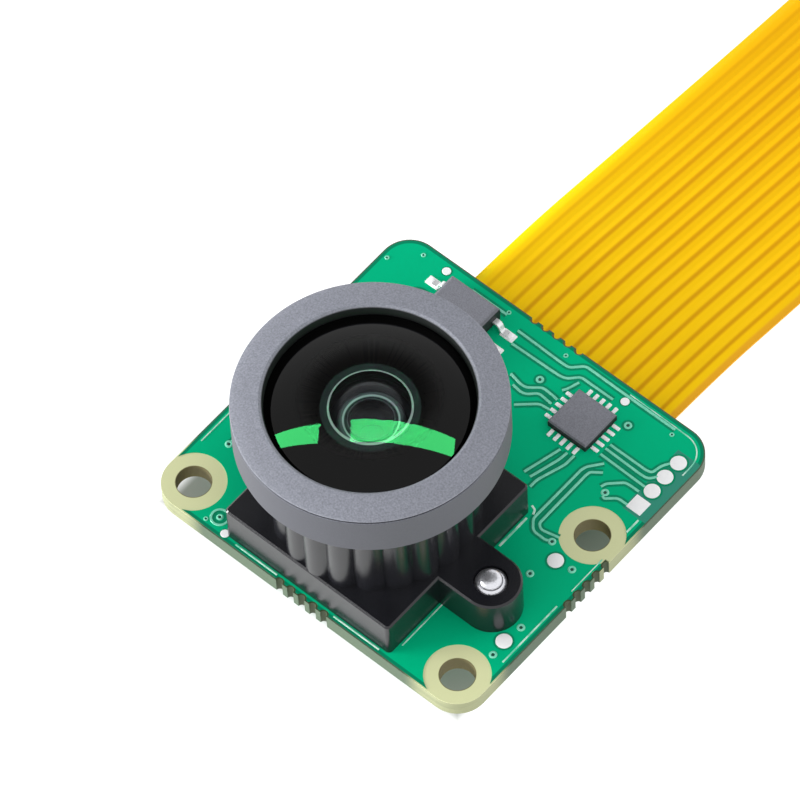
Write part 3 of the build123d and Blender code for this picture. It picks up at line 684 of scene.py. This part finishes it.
def move_joined(mesh, verts, centre):
    """Moves the points, and all that they are joined to, from the middle to a centre."""
    joined = set(verts)
    reached = list(verts)
    while reached:
        for edge in reached.pop().link_edges:
            for vert in edge.verts:
                if vert not in joined:
                    joined.add(vert)
                    reached.append(vert)
    bmesh.ops.translate(mesh, vec=(centre[0] * mm, centre[1] * mm, 0), verts=list(joined))


def turn_into(mesh, profile, centre, level=0.0, steps=128, shrink=1.0):
    """Adds the body that a profile of (radius, height) points makes turned about an upright
    line. A profile that starts on the line is closed by it, and any other is closed in a loop."""
    verts = [mesh.verts.new((r * shrink * mm, 0, (z + level) * mm)) for r, z in profile]
    edges = [mesh.edges.new(pair) for pair in zip(verts, verts[1:])]
    if profile[0][0] > 0:
        edges.append(mesh.edges.new((verts[-1], verts[0])))
    whole_turn = {"cent": (0, 0, 0), "axis": (0, 0, 1), "angle": 2 * math.pi, "use_merge": True}
    bmesh.ops.spin(mesh, geom=verts + edges, steps=steps, **whole_turn)
    move_joined(mesh, verts, centre)


pit_mesh = bmesh.new()
for centre in vias:
    turn_into(track_mesh, via_ring, centre, mask_top, 32)
    turn_into(pit_mesh, via_pit, centre, mask_top, 32)
for centre in small_vias:
    turn_into(track_mesh, via_ring, centre, mask_top, 24, 0.6)
    turn_into(pit_mesh, via_pit, centre, mask_top, 24, 0.6)
for centre in vias[:2]:
    turn_into(gap_mesh, via_gap, centre, mask_top, 40)
turn_into(track_mesh, via_ring, ringed_via, mask_top, 40, 0.85)
turn_into(pit_mesh, via_pit, ringed_via, mask_top, 40, 0.85)
turn_into(track_mesh, outer_ring, ringed_via, mask_top, 56)
turn_into(gap_mesh, via_gap, ringed_via, mask_top, 56, 1.12)
pit = Finish("via_pit", 0.5)
pit.grained(pit.noise(0.2, 3.0), (0, 62, 46), (6, 88, 66), 0.4, 0.2)
make_piece("via_pits", finish_mesh(pit_mesh), pit, "module")


# Copper edges: the rim of the copper sheet under the lacquer, along parts of the board's edges and
# beside the lens holder, with the light that it catches painted on as a near-white colour.
rim_r = 1.5
back_corner = [
    (hole_x + rim_r * math.cos(math.radians(turn)), 13.75 + rim_r * math.sin(math.radians(turn)))
    for turn in range(90, -1, -15)
]
rim_lines = [
    ([(5.9, 15.3), (9.6, 15.27), *back_corner, (12.0, 12.9)], 0.1),
    ([(11.95, 7.7), (11.96, 8.8)], 0.14),
    ([(12.05, 2.45), (12.05, 5.3)], 0.08),
    ([(12.04, 1.1), (12.04, -3.9)], 0.12),
    ([(-5.6, -7.95), (-2.3, -7.95)], 0.12),
    ([(2.2, -7.95), (5.8, -7.95)], 0.12),
    ([(6.68, 2.09), (6.68, 4.63)], 0.16),
    ([(6.68, -6.86), (6.68, -3.06)], 0.1),
    ([(6.37, 5.5), (6.69, 5.4), (6.82, 5.06)], 0.16),
    ([(-12.05, -3.8), (-12.05, 3.6)], 0.1),
]
rim_mesh = bmesh.new()
for line, width in rim_lines:
    lay_strip(rim_mesh, line, width, mask_top - 0.01, mask_top + 0.03, 0.02)


# Pads: bare copper with a coat of tin, for probes and for a camera that places the parts.
# Each has an etched gap round it.
disc_pad = [(0.0, 0.035), (0.47, 0.035), (0.51, 0.02), (0.52, -0.01), (0.0, -0.01)]
disc_gap = [(0.5, -0.01), (0.5, 0.009), (0.64, 0.009), (0.64, -0.01)]
disc_pads = [(11.29, 10.9), (11.26, 12.15), (11.26, 13.43), (9.94, 3.47), (11.16, -2.75)]
small_pads = [(5.97, 14.72), (-6.61, -7.79), (-8.5, 14.95)]
gap_level = mask_top + 0.004
pad_mesh = bmesh.new()


def add_block(mesh, size, centre, edge=0.03, segments=2, turn=0.0):
    """Adds a block with rounded edges, turned about its upright line, sizes in millimetres."""
    placed = Matrix.Translation([part * mm for part in centre])
    placed = placed @ Matrix.Rotation(math.radians(turn), 4, "Z")
    placed = placed @ Matrix.Diagonal([part * mm for part in size] + [1.0])
    verts = bmesh.ops.create_cube(mesh, size=1.0, matrix=placed)["verts"]
    edges = list({rim for vert in verts for rim in vert.link_edges})
    rounding = {"offset_type": "OFFSET", "profile": 0.5, "affect": "EDGES", "material": -1}
    bmesh.ops.bevel(
        mesh, geom=edges, offset=edge * mm, segments=segments, clamp_overlap=True, **rounding
    )


for centre in disc_pads:
    turn_into(pad_mesh, disc_pad, centre, mask_top, 48)
    turn_into(gap_mesh, disc_gap, centre, gap_level, 48)
for centre in small_pads:
    turn_into(pad_mesh, disc_pad, centre, mask_top, 32, 0.55)
    turn_into(gap_mesh, disc_gap, centre, gap_level, 32, 0.55)
add_block(pad_mesh, (1.08, 1.08, 0.05), (11.29, 9.62, mask_top + 0.01), 0.015)
pad_tin = Finish("pad_tin", 0.3, constants={"Specular IOR Level": 0.5})
pad_fine = pad_tin.noise(0.3, 3.0)
pad_tin.grained(pad_fine, (246, 248, 250), (255, 255, 255), 0.24, 0.2, 0.008)
make_piece("front_pads", finish_mesh(pad_mesh), pad_tin, "module")
make_piece("track_gaps", finish_mesh(gap_mesh), etched, "module")
make_piece("tracks", finish_mesh(track_mesh), mint, "module")
# The rims' pale colour is a painted highlight, blotched by a fine grain.
rim_painted_highlight = Finish("copper_rim", 0.22, constants={"Specular IOR Level": 0.6})
rim_fine = rim_painted_highlight.noise(1.2, 3.0)
rim_painted_highlight.give(
    Base_Color=rim_painted_highlight.mix(
        rim_painted_highlight.step(rim_fine, 0.35, 0.6), screen(120, 214, 182), screen(214, 244, 230)
    ),
    Roughness=0.16 + 0.2 * rim_fine,
).bump(rim_fine, 0.006)
make_piece("copper_rims", finish_mesh(rim_mesh), rim_painted_highlight, "module")


# Lens holder: one black glass-filled moulding with a square foot, a ribbed round tower and two
# ears. A screw from behind the board holds it by each ear.
black = Finish("black_moulding", 0.24, constants={"Specular IOR Level": 0.55})
black_grain = black.noise(0.09, 3.0)
black_cloud = black.noise(2.0, 3.0)
black.give(
    Base_Color=black.mix(black_cloud, screen(16, 16, 20), screen(28, 29, 34)),
    Roughness=0.17 + 0.14 * black_grain,
).bump(black_grain, 0.006)
dress("lens_holder", black)


# Holder screws: small steel screws driven from behind, each with a cross recess in its round
# head and a rounded, threaded tip that stands just proud of the ear.
lens_y = -1.3
screw_places = [(-9.0, lens_y), (9.0, lens_y)]
ear_top = 4.15
screw_shank = [
    (0.0, ear_top + 0.40), (0.34, ear_top + 0.38), (0.58, ear_top + 0.29), (0.70, ear_top + 0.14),
    (0.74, ear_top - 0.02), (0.88, ear_top - 0.10), (0.99, ear_top - 0.22), (0.82, ear_top - 0.36),
    (0.99, ear_top - 0.50), (0.82, ear_top - 0.64), (0.99, ear_top - 0.78), (0.82, ear_top - 0.92),
    (0.99, ear_top - 1.06), (0.99, -0.7), (0.0, -0.7),
]
screw_head = [
    (0.0, -0.02), (1.84, -0.02), (1.90, -0.08), (1.90, -0.70), (1.82, -0.98), (1.62, -1.22),
    (1.30, -1.40), (0.90, -1.48), (0.0, -1.50),
]
steel = Finish("screw_steel", 0.26, metallic=0.9)
steel_lines = steel.noise(0.12, 4.0)
steel.grained(steel_lines, (206, 207, 214), (244, 245, 250), 0.2, 0.22, 0.02)
screw_mesh = bmesh.new()
for centre in screw_places:
    turn_into(screw_mesh, screw_shank, centre, steps=48)
    turn_into(screw_mesh, screw_head, centre, steps=64)
screws = make_piece("screws", finish_mesh(screw_mesh), steel, "module", crease=36.0)
recess_mesh = bmesh.new()
for x, y in screw_places:
    for size in ((2.0, 0.4, 1.6), (0.4, 2.0, 1.6)):
        add_block(recess_mesh, size, (x, y, -1.5), 0.05)
cut_away(screws, recess_mesh, crossing=True)
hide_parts("holder_screws")


# Lens barrel: one turned piece of aluminium, blasted and anodised grey, with a wide head, a
# fine groove under its top edge, a threaded neck, and a dark shoulder inside for the glass.
rim_z = 15.5
head_r = 8.3
head_bottom_z = 11.75
neck_r = 5.69
seat_r = 6.3
glass_base_z = 14.0
barrel_profile = [
    (seat_r, 15.05), (6.38, 15.38), (6.56, rim_z), (7.4, 15.37), (8.2, 15.24), (8.29, 15.2),
    (8.29, 15.14), (8.16, 15.1), (8.16, 14.98), (head_r, 14.94), (head_r, 12.05),
    (8.0, head_bottom_z), (neck_r, head_bottom_z), (neck_r, 5.8), (5.39, 5.5), (4.55, 5.5),
    (4.55, 12.8), (2.75, 12.8), (2.75, 13.9), (2.85, glass_base_z), (seat_r, glass_base_z),
]
anodised = Finish("barrel_grey", 0.55, constants={"Specular IOR Level": 0.7})
blasted = anodised.noise(0.11, 3.0)
anodised_cloud = anodised.noise(1.6, 3.0)
anodised_base = anodised.mix(blasted, screen(76, 79, 89), screen(169, 172, 185))
anodised_base = anodised.mix(anodised_cloud * 0.35, anodised_base, screen(116, 119, 126))
to_axis = anodised.reach((0.0, lens_y))
_, _, barrel_z = anodised.axes(anodised.place())
# Painted shade: the fine groove is painted near black, as the shade in it.
groove_painted_shade = anodised.step(to_axis, 8.27, 8.2) * anodised.step(barrel_z, 15.17, 15.1)
groove_painted_shade = groove_painted_shade * anodised.step(to_axis, 8.0, 8.1)
# Painted shade: the side of the head is painted darker than its top.
head_side_painted_shade = anodised.step(to_axis, head_r - 0.06, head_r - 0.01)
head_side_painted_shade = head_side_painted_shade * anodised.step(barrel_z, 15.0, 14.9)
anodised_base = anodised.mix(head_side_painted_shade * 0.85, anodised_base, screen(46, 48, 56))
inside = anodised.step(to_axis, seat_r + 0.15, seat_r + 0.06)
below_head = anodised.step(barrel_z, head_bottom_z + 0.15, head_bottom_z + 0.01)
dark_parts = (inside + groove_painted_shade + below_head).at_most(1.0)
anodised.give(
    Base_Color=anodised.mix(dark_parts, anodised_base, screen(16, 16, 20)),
    Roughness=0.5 + 0.15 * blasted,
).bump(blasted, 0.012)
barrel_mesh = bmesh.new()
turn_into(barrel_mesh, barrel_profile, (0.0, lens_y), steps=160)
thread_z = 11.08
thread_pitch = 0.3
thread_turns = 2
thread_steps = 96
ridge = [
    barrel_mesh.verts.new((r * mm, 0, (thread_z + rise) * mm))
    for r, rise in ((neck_r - 0.03, -0.12), (neck_r + 0.2, 0.0), (neck_r - 0.03, 0.12))
]
ridge_edges = [barrel_mesh.edges.new(pair) for pair in zip(ridge, ridge[1:] + ridge[:1])]
bmesh.ops.spin(
    barrel_mesh,
    geom=ridge + ridge_edges,
    cent=(0, 0, 0),
    axis=(0, 0, 1),
    dvec=(0, 0, thread_pitch * mm / thread_steps),
    angle=2 * math.pi * thread_turns,
    steps=thread_steps * thread_turns,
    use_merge=False,
)
open_edges = [edge for edge in barrel_mesh.edges if len(edge.link_faces) == 1]
bmesh.ops.holes_fill(barrel_mesh, edges=open_edges, sides=4)
move_joined(barrel_mesh, ridge, (0.0, lens_y))
finish_mesh(barrel_mesh)
barrel = make_piece("barrel", barrel_mesh, anodised, "lens", crease=40.0)


def round_edges(piece, width, angle):
    """Rounds every edge of a piece that is sharper than an angle."""
    rounded = piece.modifiers.new("rounded_edges", "BEVEL")
    rounded.width = width * mm
    rounded.segments = 2
    rounded.limit_method = "ANGLE"
    rounded.angle_limit = math.radians(angle)
    rounded.harden_normals = True


round_edges(barrel, 0.03, 30)
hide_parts("lens_barrel")


# Front glass: a wide meniscus, domed outside and hollow inside. Its seat is painted black, so
# the outer part of the dome is dark, and a narrow ground edge runs round the hollow.
dome_radius = 13.0
glass_r = 6.25
glass_edge_z = 14.8
bowl_r = 2.34
bowl_edge_z = 14.10
bowl_radius = 3.45
ground_r = 2.46
clear_r = 3.6
dark_r = 4.4
ring_middle_r = 1.83


def arc_points(radius, reach, base_z, count):
    """Points of a spherical cap from its rim to its axis, as (radius, height)."""
    rim_drop = math.sqrt(radius ** 2 - reach ** 2)
    across = [reach * (1 - step / count) for step in range(count + 1)]
    return [(r, base_z + math.sqrt(radius ** 2 - r ** 2) - rim_drop) for r in across]


def paint_faces(piece, finish, inner_r, outer_r, low_z, high_z):
    """Gives a finish to the faces of a turned piece between two radii and two heights."""
    piece.data.materials.append(finish.material)
    for face in piece.data.polygons:
        reach = math.hypot(face.center.x, face.center.y - lens_y * mm) / mm
        height = face.center.z / mm
        if inner_r < reach < outer_r and low_z < height < high_z:
            face.material_index = len(piece.data.materials) - 1


glass_profile = list(reversed(arc_points(dome_radius, glass_r, glass_edge_z, 32)))
glass_profile += [(glass_r, glass_base_z), (ground_r, glass_base_z)]
glass_profile += arc_points(bowl_radius, bowl_r, bowl_edge_z, 16)
coat_constants = {"Transmission Weight": 1.0, "IOR": 1.26, "Specular IOR Level": 0.5}
coated = Finish("optical_glass", 0.02, constants=coat_constants)
coat_dust = coated.noise(1.2, 4.0)
backed_part = coated.step(coated.reach((0.0, lens_y)), clear_r, dark_r)
clear_tint = coated.mix(coat_dust, screen(232, 238, 246), screen(244, 248, 252))
backed_tint = coated.mix(coat_dust, screen(0, 0, 0), screen(1, 1, 2))
coated.give(
    Base_Color=coated.mix(backed_part, clear_tint, backed_tint),
    Roughness=0.001 + 0.002 * coat_dust,
)
hollow_constants = {"Transmission Weight": 1.0, "IOR": 1.26, "Specular IOR Level": 0.0}
hollow = Finish("hollow_glass", 0.02, constants=hollow_constants)
hollow.grained(hollow.noise(1.2, 4.0), (232, 238, 246), (244, 248, 252), 0.001, 0.002)
inner_black = Finish("inner_black", 0.7, constants={"Specular IOR Level": 0.1})
inner_black.grained(inner_black.noise(0.2, 3.0), (32, 32, 39), (44, 44, 52), 0.6, 0.2)
ground = Finish("ground_glass_edge", 0.6, constants={"Specular IOR Level": 0.0})
ground_grain = ground.noise(0.1, 3.0)
_, _, ground_z = ground.axes(ground.place())
to_ground = ground.reach((0.0, lens_y))
# A narrow pale band round the second glass's ground ring is a painted highlight; the front glass's
# ground edge, higher up, is pale in its own colour.
ring_painted_highlight = ground.step(abs(to_ground - ring_middle_r), 0.07, 0.03)
pale_edge_and_painted_highlight = ring_painted_highlight.at_least(ground.step(ground_z, 13.4, 13.6))
ground_pale_and_highlight = ground.mix(ground_grain, screen(190, 176, 192), screen(214, 200, 216))
ground_dim = ground.mix(ground_grain, screen(88, 82, 92), screen(112, 104, 116))
ground.give(
    Base_Color=ground.mix(pale_edge_and_painted_highlight, ground_dim, ground_pale_and_highlight),
    Roughness=0.3 + 0.2 * ground_grain,
).bump(ground_grain, 0.006)
glass_mesh = bmesh.new()
turn_into(glass_mesh, glass_profile, (0.0, lens_y), steps=160)
front_glass = make_piece("front_glass", finish_mesh(glass_mesh), coated, "lens")
paint_faces(front_glass, hollow, -1.0, bowl_r, bowl_edge_z, 15.75)
paint_faces(front_glass, inner_black, ground_r, seat_r, 13.9, 14.85)
paint_faces(front_glass, ground, bowl_r, ground_r, 13.9, bowl_edge_z)
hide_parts("front_element")

glass_group = bpy.data.collections.new("front_glass_only")
glass_group.objects.link(front_glass)
for tube in tubes:
    tube.light_linking.receiver_collection = glass_group
other_group = bpy.data.collections.new("all_but_front_glass")
other_group.objects.link(front_glass)
other_group.collection_objects[0].light_linking.link_state = "EXCLUDE"
left_lamp.light_linking.receiver_collection = other_group


# Second glass: a smaller element behind the shoulder, with a dim ground ring round its polished
# middle, which shows through the front glass, and a narrow pale band painted round the ring as
# its highlight. Its flange is painted black.
second_profile = list(reversed(arc_points(6.5, 1.50, 12.80, 12)))
second_profile += [
    (1.57, 12.76), (1.62, 12.66), (1.74, 12.66), (1.80, 12.72), (1.90, 12.81), (2.04, 12.82),
    (2.17, 12.74), (2.26, 12.58), (2.32, 12.30), (2.34, 12.06), (4.50, 12.06), (4.50, 12.0),
]
second_profile += arc_points(3.2, 2.05, 12.0, 12)
second_mesh = bmesh.new()
turn_into(second_mesh, second_profile, (0.0, lens_y), steps=128)
second_glass = make_piece("second_glass", finish_mesh(second_mesh), hollow, "lens")
paint_faces(second_glass, ground, 1.48, 2.335, 12.1, 12.95)
paint_faces(second_glass, inner_black, 1.57, 1.76, 12.6, 12.73)
paint_faces(second_glass, inner_black, 2.34, 4.6, 11.9, 12.1)
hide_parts("second_element")
for name in ("third_element", "rear_element", "sensor_cover_glass"):
    dress(name, hollow)
filter_constants = {"Transmission Weight": 0.9, "IOR": 1.45, "Specular IOR Level": 0.5}
filter_glass = Finish("filter_glass", 0.05, constants=filter_constants)
filter_glass.grained(filter_glass.noise(1.5, 3.0), (120, 190, 210), (150, 210, 224), 0.03, 0.03)
dress("infrared_filter", filter_glass)
for name in ("spacer_ring", "aperture_stop", "rear_ring"):
    dress(name, inner_black)


# Image sensor: a black ceramic package on the board under the lens, with its own cover glass
# bonded on top.
sensor_finish = Finish("sensor_package", 0.4)
sensor_grain = sensor_finish.noise(0.3, 3.0)
sensor_finish.grained(sensor_grain, (20, 24, 28), (36, 42, 48), 0.3, 0.2, 0.01)
dress("image_sensor", sensor_finish)


# Front chip: a flat moulded package, its grained top painted pale as the light from above falls on
# it and its sides dark. Five tinned lands stick out on each side of it.
moulding = Finish("chip_moulding", 0.55, constants={"Specular IOR Level": 0.4})
moulding_grain = moulding.noise(0.08, 3.0)
moulding_cloud = moulding.noise(0.8, 3.0)
top_grain_and_painted_light = moulding.mix(moulding_grain, screen(88, 89, 97), screen(150, 152, 161))
top_grain_and_painted_light = moulding.mix(moulding_cloud * 0.4, top_grain_and_painted_light, screen(112, 113, 121))
# Faces that look up get the pale grained colour and the rest stay near black: painted light on the
# top.
chip_normal = moulding.node("ShaderNodeNewGeometry", output="Normal")
_, _, facing_up = moulding.axes(chip_normal)
top_face = moulding.step(facing_up, 0.3, 0.9)
moulding.give(
    Base_Color=moulding.mix(top_face, screen(30, 30, 34), top_grain_and_painted_light),
    Roughness=0.46 + 0.2 * moulding_grain,
)
moulding.bump(moulding_grain, 0.01)


def ease_edges(node_name, piece_name, width, finish, body):
    """Replaces a CAD node by a copy of its own form with every sharp edge rounded."""
    mesh = bmesh.new()
    mesh.from_mesh(nodes[node_name].data)
    bmesh.ops.remove_doubles(mesh, verts=mesh.verts, dist=weld_gap)
    bmesh.ops.dissolve_limit(mesh, angle_limit=flat_angle, verts=mesh.verts, edges=mesh.edges)
    bmesh.ops.recalc_face_normals(mesh, faces=mesh.faces)
    piece = make_piece(piece_name, mesh, finish, body)
    round_edges(piece, width, 38)
    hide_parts(node_name)


ease_edges("front_chip", "front_chip_body", 0.03, moulding, "module")
chip_x = 4.92
chip_y = 11.94
land_reach = 1.82
land_pitch = 0.5
land_mesh = bmesh.new()
for turn in (0, 90, 180, 270):
    outward = Vector((math.cos(math.radians(turn)), math.sin(math.radians(turn))))
    sideways = Vector((-outward.y, outward.x))
    for number in range(5):
        along_side = sideways * (number - 2) * land_pitch
        place = Vector((chip_x, chip_y)) + outward * land_reach + along_side
        add_block(land_mesh, (0.56, 0.25, 0.11), (place.x, place.y, mask_top + 0.04), 0.05, 3, turn)
make_piece("front_chip_lands", finish_mesh(land_mesh), pad_tin, "module")


# Memory chip: a moulded block on eight leads, each bent down like a wing and soldered to its
# own pad.
ease_edges("memory_chip", "memory_chip_body", 0.05, moulding, "module")
memory_x = -5.55
memory_y = 11.9
lead_pitch = 1.27
lead_w = 0.42
lead_t = 0.18
tin = Finish("tinned_lead", 0.26, metallic=0.6, constants={"Specular IOR Level": 0.6})
tin.grained(tin.noise(0.12, 3.0), (226, 228, 230), (252, 253, 254), 0.2, 0.22, 0.01)


def bend_strip(mesh, path, width, thick, place, turn):
    """Adds a strip whose middle line is a path of (outward, up) points, turned about a place."""
    line = round_bends(path, 0.2)
    last = len(line) - 1
    flat, lifted = strip_grid(mesh, last)
    spin = Matrix.Rotation(math.radians(turn), 3, "Z")
    for verts, rise in ((flat, -thick / 2), (lifted, thick / 2)):
        for vert in verts:
            row = round((vert.co.y + 1) / 2 * last)
            along = (line[min(row + 1, last)] - line[max(row - 1, 0)]).normalized()
            out, up = line[row] + Vector((-along.y, along.x)) * rise
            vert.co = (spin @ Vector((out, vert.co.x * width / 2, up)) + Vector(place)) * mm


memory_lead = [(1.86, 0.66), (2.32, 0.66), (2.52, 0.11), (3.05, 0.11)]
lead_mesh = bmesh.new()
solder_mesh = bmesh.new()
for row in range(4):
    lead_y = memory_y + (row - 1.5) * lead_pitch
    for side, turn in ((1, 0), (-1, 180)):
        bend_strip(lead_mesh, memory_lead, lead_w, lead_t, (memory_x, lead_y, board_t), turn)
        solder_x = memory_x + side * 3.0
        foot_x = solder_x + side * 0.12
        add_block(solder_mesh, (1.0, 0.62, 0.12), (solder_x, lead_y, mask_top + 0.02), 0.055, 3)
        add_block(solder_mesh, (0.4, 0.5, 0.3), (foot_x, lead_y, mask_top + 0.03), 0.13, 3)
memory_leads = make_piece("memory_leads", finish_mesh(lead_mesh), tin, "module")
round_edges(memory_leads, 0.025, 50)
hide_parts("memory_chip_leads")
make_piece("memory_solder", finish_mesh(solder_mesh), pad_tin, "module")


# Regulators on the rear: two small moulded chips, with three bent leads on one side and two
# on the other.
chip_row_y = 3.2
solder_z = -mask_t - 0.02
regulator_mesh = bmesh.new()
leg_mesh = bmesh.new()
rear_solder = bmesh.new()
regulator_lead = [(0.78, -0.5), (0.98, -0.5), (1.08, -0.11), (1.38, -0.11)]
for regulator_x in (-4.6, 4.6):
    add_block(regulator_mesh, (1.6, 2.9, 1.0), (regulator_x, chip_row_y, -0.6), 0.09, 2)
    for turn, row in ((180, -1), (180, 0), (180, 1), (0, -1), (0, 1)):
        lead_y = chip_row_y + row * 0.95
        bend_strip(leg_mesh, regulator_lead, 0.4, 0.14, (regulator_x, lead_y, 0), turn)
        solder_x = regulator_x + (1.35 if turn == 0 else -1.35)
        add_block(rear_solder, (0.6, 0.6, 0.1), (solder_x, lead_y, solder_z), 0.045, 3)
rear_moulding = Finish("rear_moulding", 0.5, constants={"Specular IOR Level": 0.4})
rear_grain = rear_moulding.noise(0.08, 3.0)
rear_moulding.grained(rear_grain, (34, 34, 38), (56, 57, 62), 0.42, 0.2, 0.01)
finish_mesh(regulator_mesh)
finish_mesh(leg_mesh)
regulators = make_piece("regulators", regulator_mesh, rear_moulding, "module")
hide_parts("voltage_regulators")
regulator_legs = make_piece("regulator_legs", leg_mesh, tin, "module")
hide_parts("regulator_leads")


# Clock on the rear: a dark ceramic base with a pressed metal lid, which is seam-welded round
# its edge.
lid = Finish("lid_metal", 0.35, metallic=1.0)
lid_lines = lid.noise(0.2, 4.0, (0.2, 2.0, 1.0))
lid.grained(lid_lines, (196, 192, 182), (226, 222, 212), 0.25, 0.2, 0.008)
clock_mesh = bmesh.new()
add_block(clock_mesh, (3.2, 2.5, 0.45), (0, chip_row_y, -0.26), 0.06)
finish_mesh(clock_mesh)
clock_base = make_piece("clock_base", clock_mesh, rear_moulding, "module")
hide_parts("clock_oscillator")
lid_mesh = bmesh.new()
add_block(lid_mesh, (3.0, 2.3, 0.14), (0, chip_row_y, -0.54), 0.05, 3)
add_block(lid_mesh, (2.7, 2.0, 0.34), (0, chip_row_y, -0.73), 0.12, 4)
make_piece("clock_lid", finish_mesh(lid_mesh), lid, "module")


# Capacitors and resistors on the rear: small bodies with tinned ends, each soldered to two
# pads.
ceramic = Finish("ceramic_tan", 0.5)
ceramic.grained(ceramic.noise(0.1, 3.0), (164, 122, 78), (192, 152, 106), 0.4, 0.2, 0.01)
resistor = Finish("resistor_black", 0.3)
resistor.grained(resistor.noise(0.12, 3.0), (20, 20, 24), (36, 36, 42), 0.22, 0.2, 0.008)
capacitor_y = -0.9
resistor_y = -4.6
capacitor_mesh = bmesh.new()
resistor_mesh = bmesh.new()
end_mesh = bmesh.new()
for number in range(4):
    x = (number - 1.5) * 2.6
    add_block(capacitor_mesh, (1.2, 0.76, 0.74), (x, capacitor_y, -0.41), 0.05)
    for side in (-1, 1):
        end_x = x + side * 0.63
        pad_x = x + side * 0.85
        add_block(end_mesh, (0.34, 0.8, 0.78), (end_x, capacitor_y, -0.4), 0.08, 3)
        add_block(rear_solder, (0.7, 0.96, 0.1), (pad_x, capacitor_y, solder_z), 0.045, 3)
for number in range(6):
    x = (number - 2.5) * 1.3
    add_block(resistor_mesh, (0.48, 0.7, 0.3), (x, resistor_y, -0.19), 0.03)
    for side in (-1, 1):
        end_y = resistor_y + side * 0.4
        pad_y = resistor_y + side * 0.55
        add_block(end_mesh, (0.5, 0.2, 0.34), (x, end_y, -0.18), 0.04)
        add_block(rear_solder, (0.6, 0.5, 0.08), (x, pad_y, solder_z), 0.035, 3)
finish_mesh(capacitor_mesh)
finish_mesh(resistor_mesh)
capacitor_bodies = make_piece("capacitor_bodies", capacitor_mesh, ceramic, "module")
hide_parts("capacitors")
resistor_bodies = make_piece("resistor_bodies", resistor_mesh, resistor, "module")
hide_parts("resistors")
make_piece("tinned_ends", finish_mesh(end_mesh), tin, "module")


# Ribbon connector: a pale nylon housing with a black sliding latch, bent metal anchors and
# fifteen gold-plated contacts, each soldered to a pad behind the housing.
nylon = Finish("connector_white", 0.5, constants={"Specular IOR Level": 0.4})
nylon_grain = nylon.noise(0.15, 3.0)
nylon_cloud = nylon.noise(3.0, 2.0)
nylon.give(
    Base_Color=nylon.mix(nylon_cloud, screen(222, 214, 196), screen(236, 230, 214)),
    Roughness=0.42 + 0.16 * nylon_grain,
).bump(nylon_grain, 0.012)
latch_black = Finish("latch_black", 0.4, constants={"Specular IOR Level": 0.5})
latch_grain = latch_black.noise(0.12, 3.0)
latch_black.grained(latch_grain, (28, 27, 30), (46, 45, 50), 0.34, 0.18, 0.01)
ease_edges("connector_housing", "housing", 0.05, nylon, "module")
ease_edges("connector_latch", "latch", 0.04, latch_black, "latch")
ease_edges("connector_anchors", "anchors", 0.03, tin, "module")
ease_edges("connector_contacts", "contacts", 0.02, gold_finish, "module")
for number in range(conductor_count):
    add_block(rear_solder, (0.46, 1.3, 0.1), (number - 7, 9.45, solder_z), 0.045, 3)
for side in (-1, 1):
    add_block(rear_solder, (1.5, 1.9, 0.12), (side * 10.5, 11.0, solder_z), 0.05, 3)
make_piece("rear_solder", finish_mesh(rear_solder), pad_tin, "module")


# Tracks on the rear: lines fan out from the connector's contacts to the small parts, with a
# scatter of vias in the copper between them.
rear_level = -mask_t
rear_tracks = []
for number in range(conductor_count):
    x = number - 7
    step_down = 0.35 * (7 - abs(x))
    rear_tracks.append([(x, 8.7), (x, 7.7 - step_down), (x * 0.86, 7.0 - step_down), (x * 0.86, 5.0)])
rear_tracks += [
    [(-6.4, 3.2), (-7.8, 3.2), (-8.6, 2.2), (-8.6, 1.2)],
    [(6.4, 2.25), (7.8, 2.25), (8.4, 1.6), (8.4, 1.2)],
    [(-3.2, 2.25), (-2.3, 1.3), (-2.3, 0.4), (-3.0, -0.3)],
    [(3.2, 2.25), (2.3, 1.3), (2.3, 0.4), (3.0, -0.3)],
    [(-3.25, -4.0), (-3.25, -2.6), (-3.05, -2.3), (-3.05, -1.3)],
    [(3.25, -4.0), (3.25, -2.6), (3.05, -2.3), (3.05, -1.3)],
    [(-0.65, -4.0), (-0.65, -2.9), (-0.45, -2.6), (-0.45, -1.3)],
    [(0.65, -5.2), (0.65, -6.4), (1.4, -7.1), (6.2, -7.1)],
    [(-1.95, -5.2), (-1.95, -6.2), (-2.8, -7.0), (-6.8, -7.0)],
]
rear_track_mesh = bmesh.new()
rear_gap_mesh = bmesh.new()
rear_pit_mesh = bmesh.new()
for number, track in enumerate(rear_tracks):
    lay_strip(rear_track_mesh, track, track_w, rear_level + 0.01, rear_level - track_rise)
    gap_low = rear_level - gap_rise - number * 0.0002
    lay_strip(rear_gap_mesh, track, track_w + 2 * gap_w, rear_level + 0.01, gap_low, 0.003)
via_dice = random.Random(11)
rear_vias = []
while len(rear_vias) < 34:
    x = via_dice.uniform(-11.6, 11.6)
    y = via_dice.uniform(-7.4, 8.4)
    near_part = abs(x) < 7.2 and -5.6 < y < 8.6
    near_mount = any(math.hypot(x - hx, y - hy) < 2.6 for hx, hy in hole_places)
    near_screw = any(math.hypot(x - sx, y - sy) < 2.5 for sx, sy in screw_places)
    near_via = any(math.hypot(x - vx, y - vy) < 0.9 for vx, vy in rear_vias)
    if not (near_part or near_mount or near_screw or near_via):
        rear_vias.append((x, y))
rear_ring_profile = [(r, -z) for r, z in via_ring]
rear_pit_profile = [(r, -z) for r, z in via_pit]
for centre in rear_vias:
    turn_into(rear_track_mesh, rear_ring_profile, centre, rear_level, 24, 0.8)
    turn_into(rear_pit_mesh, rear_pit_profile, centre, rear_level, 24, 0.8)
make_piece("rear_tracks", finish_mesh(rear_track_mesh), mint, "module")
make_piece("rear_gaps", finish_mesh(rear_gap_mesh), etched, "module")
make_piece("rear_pits", finish_mesh(rear_pit_mesh), pit, "module")
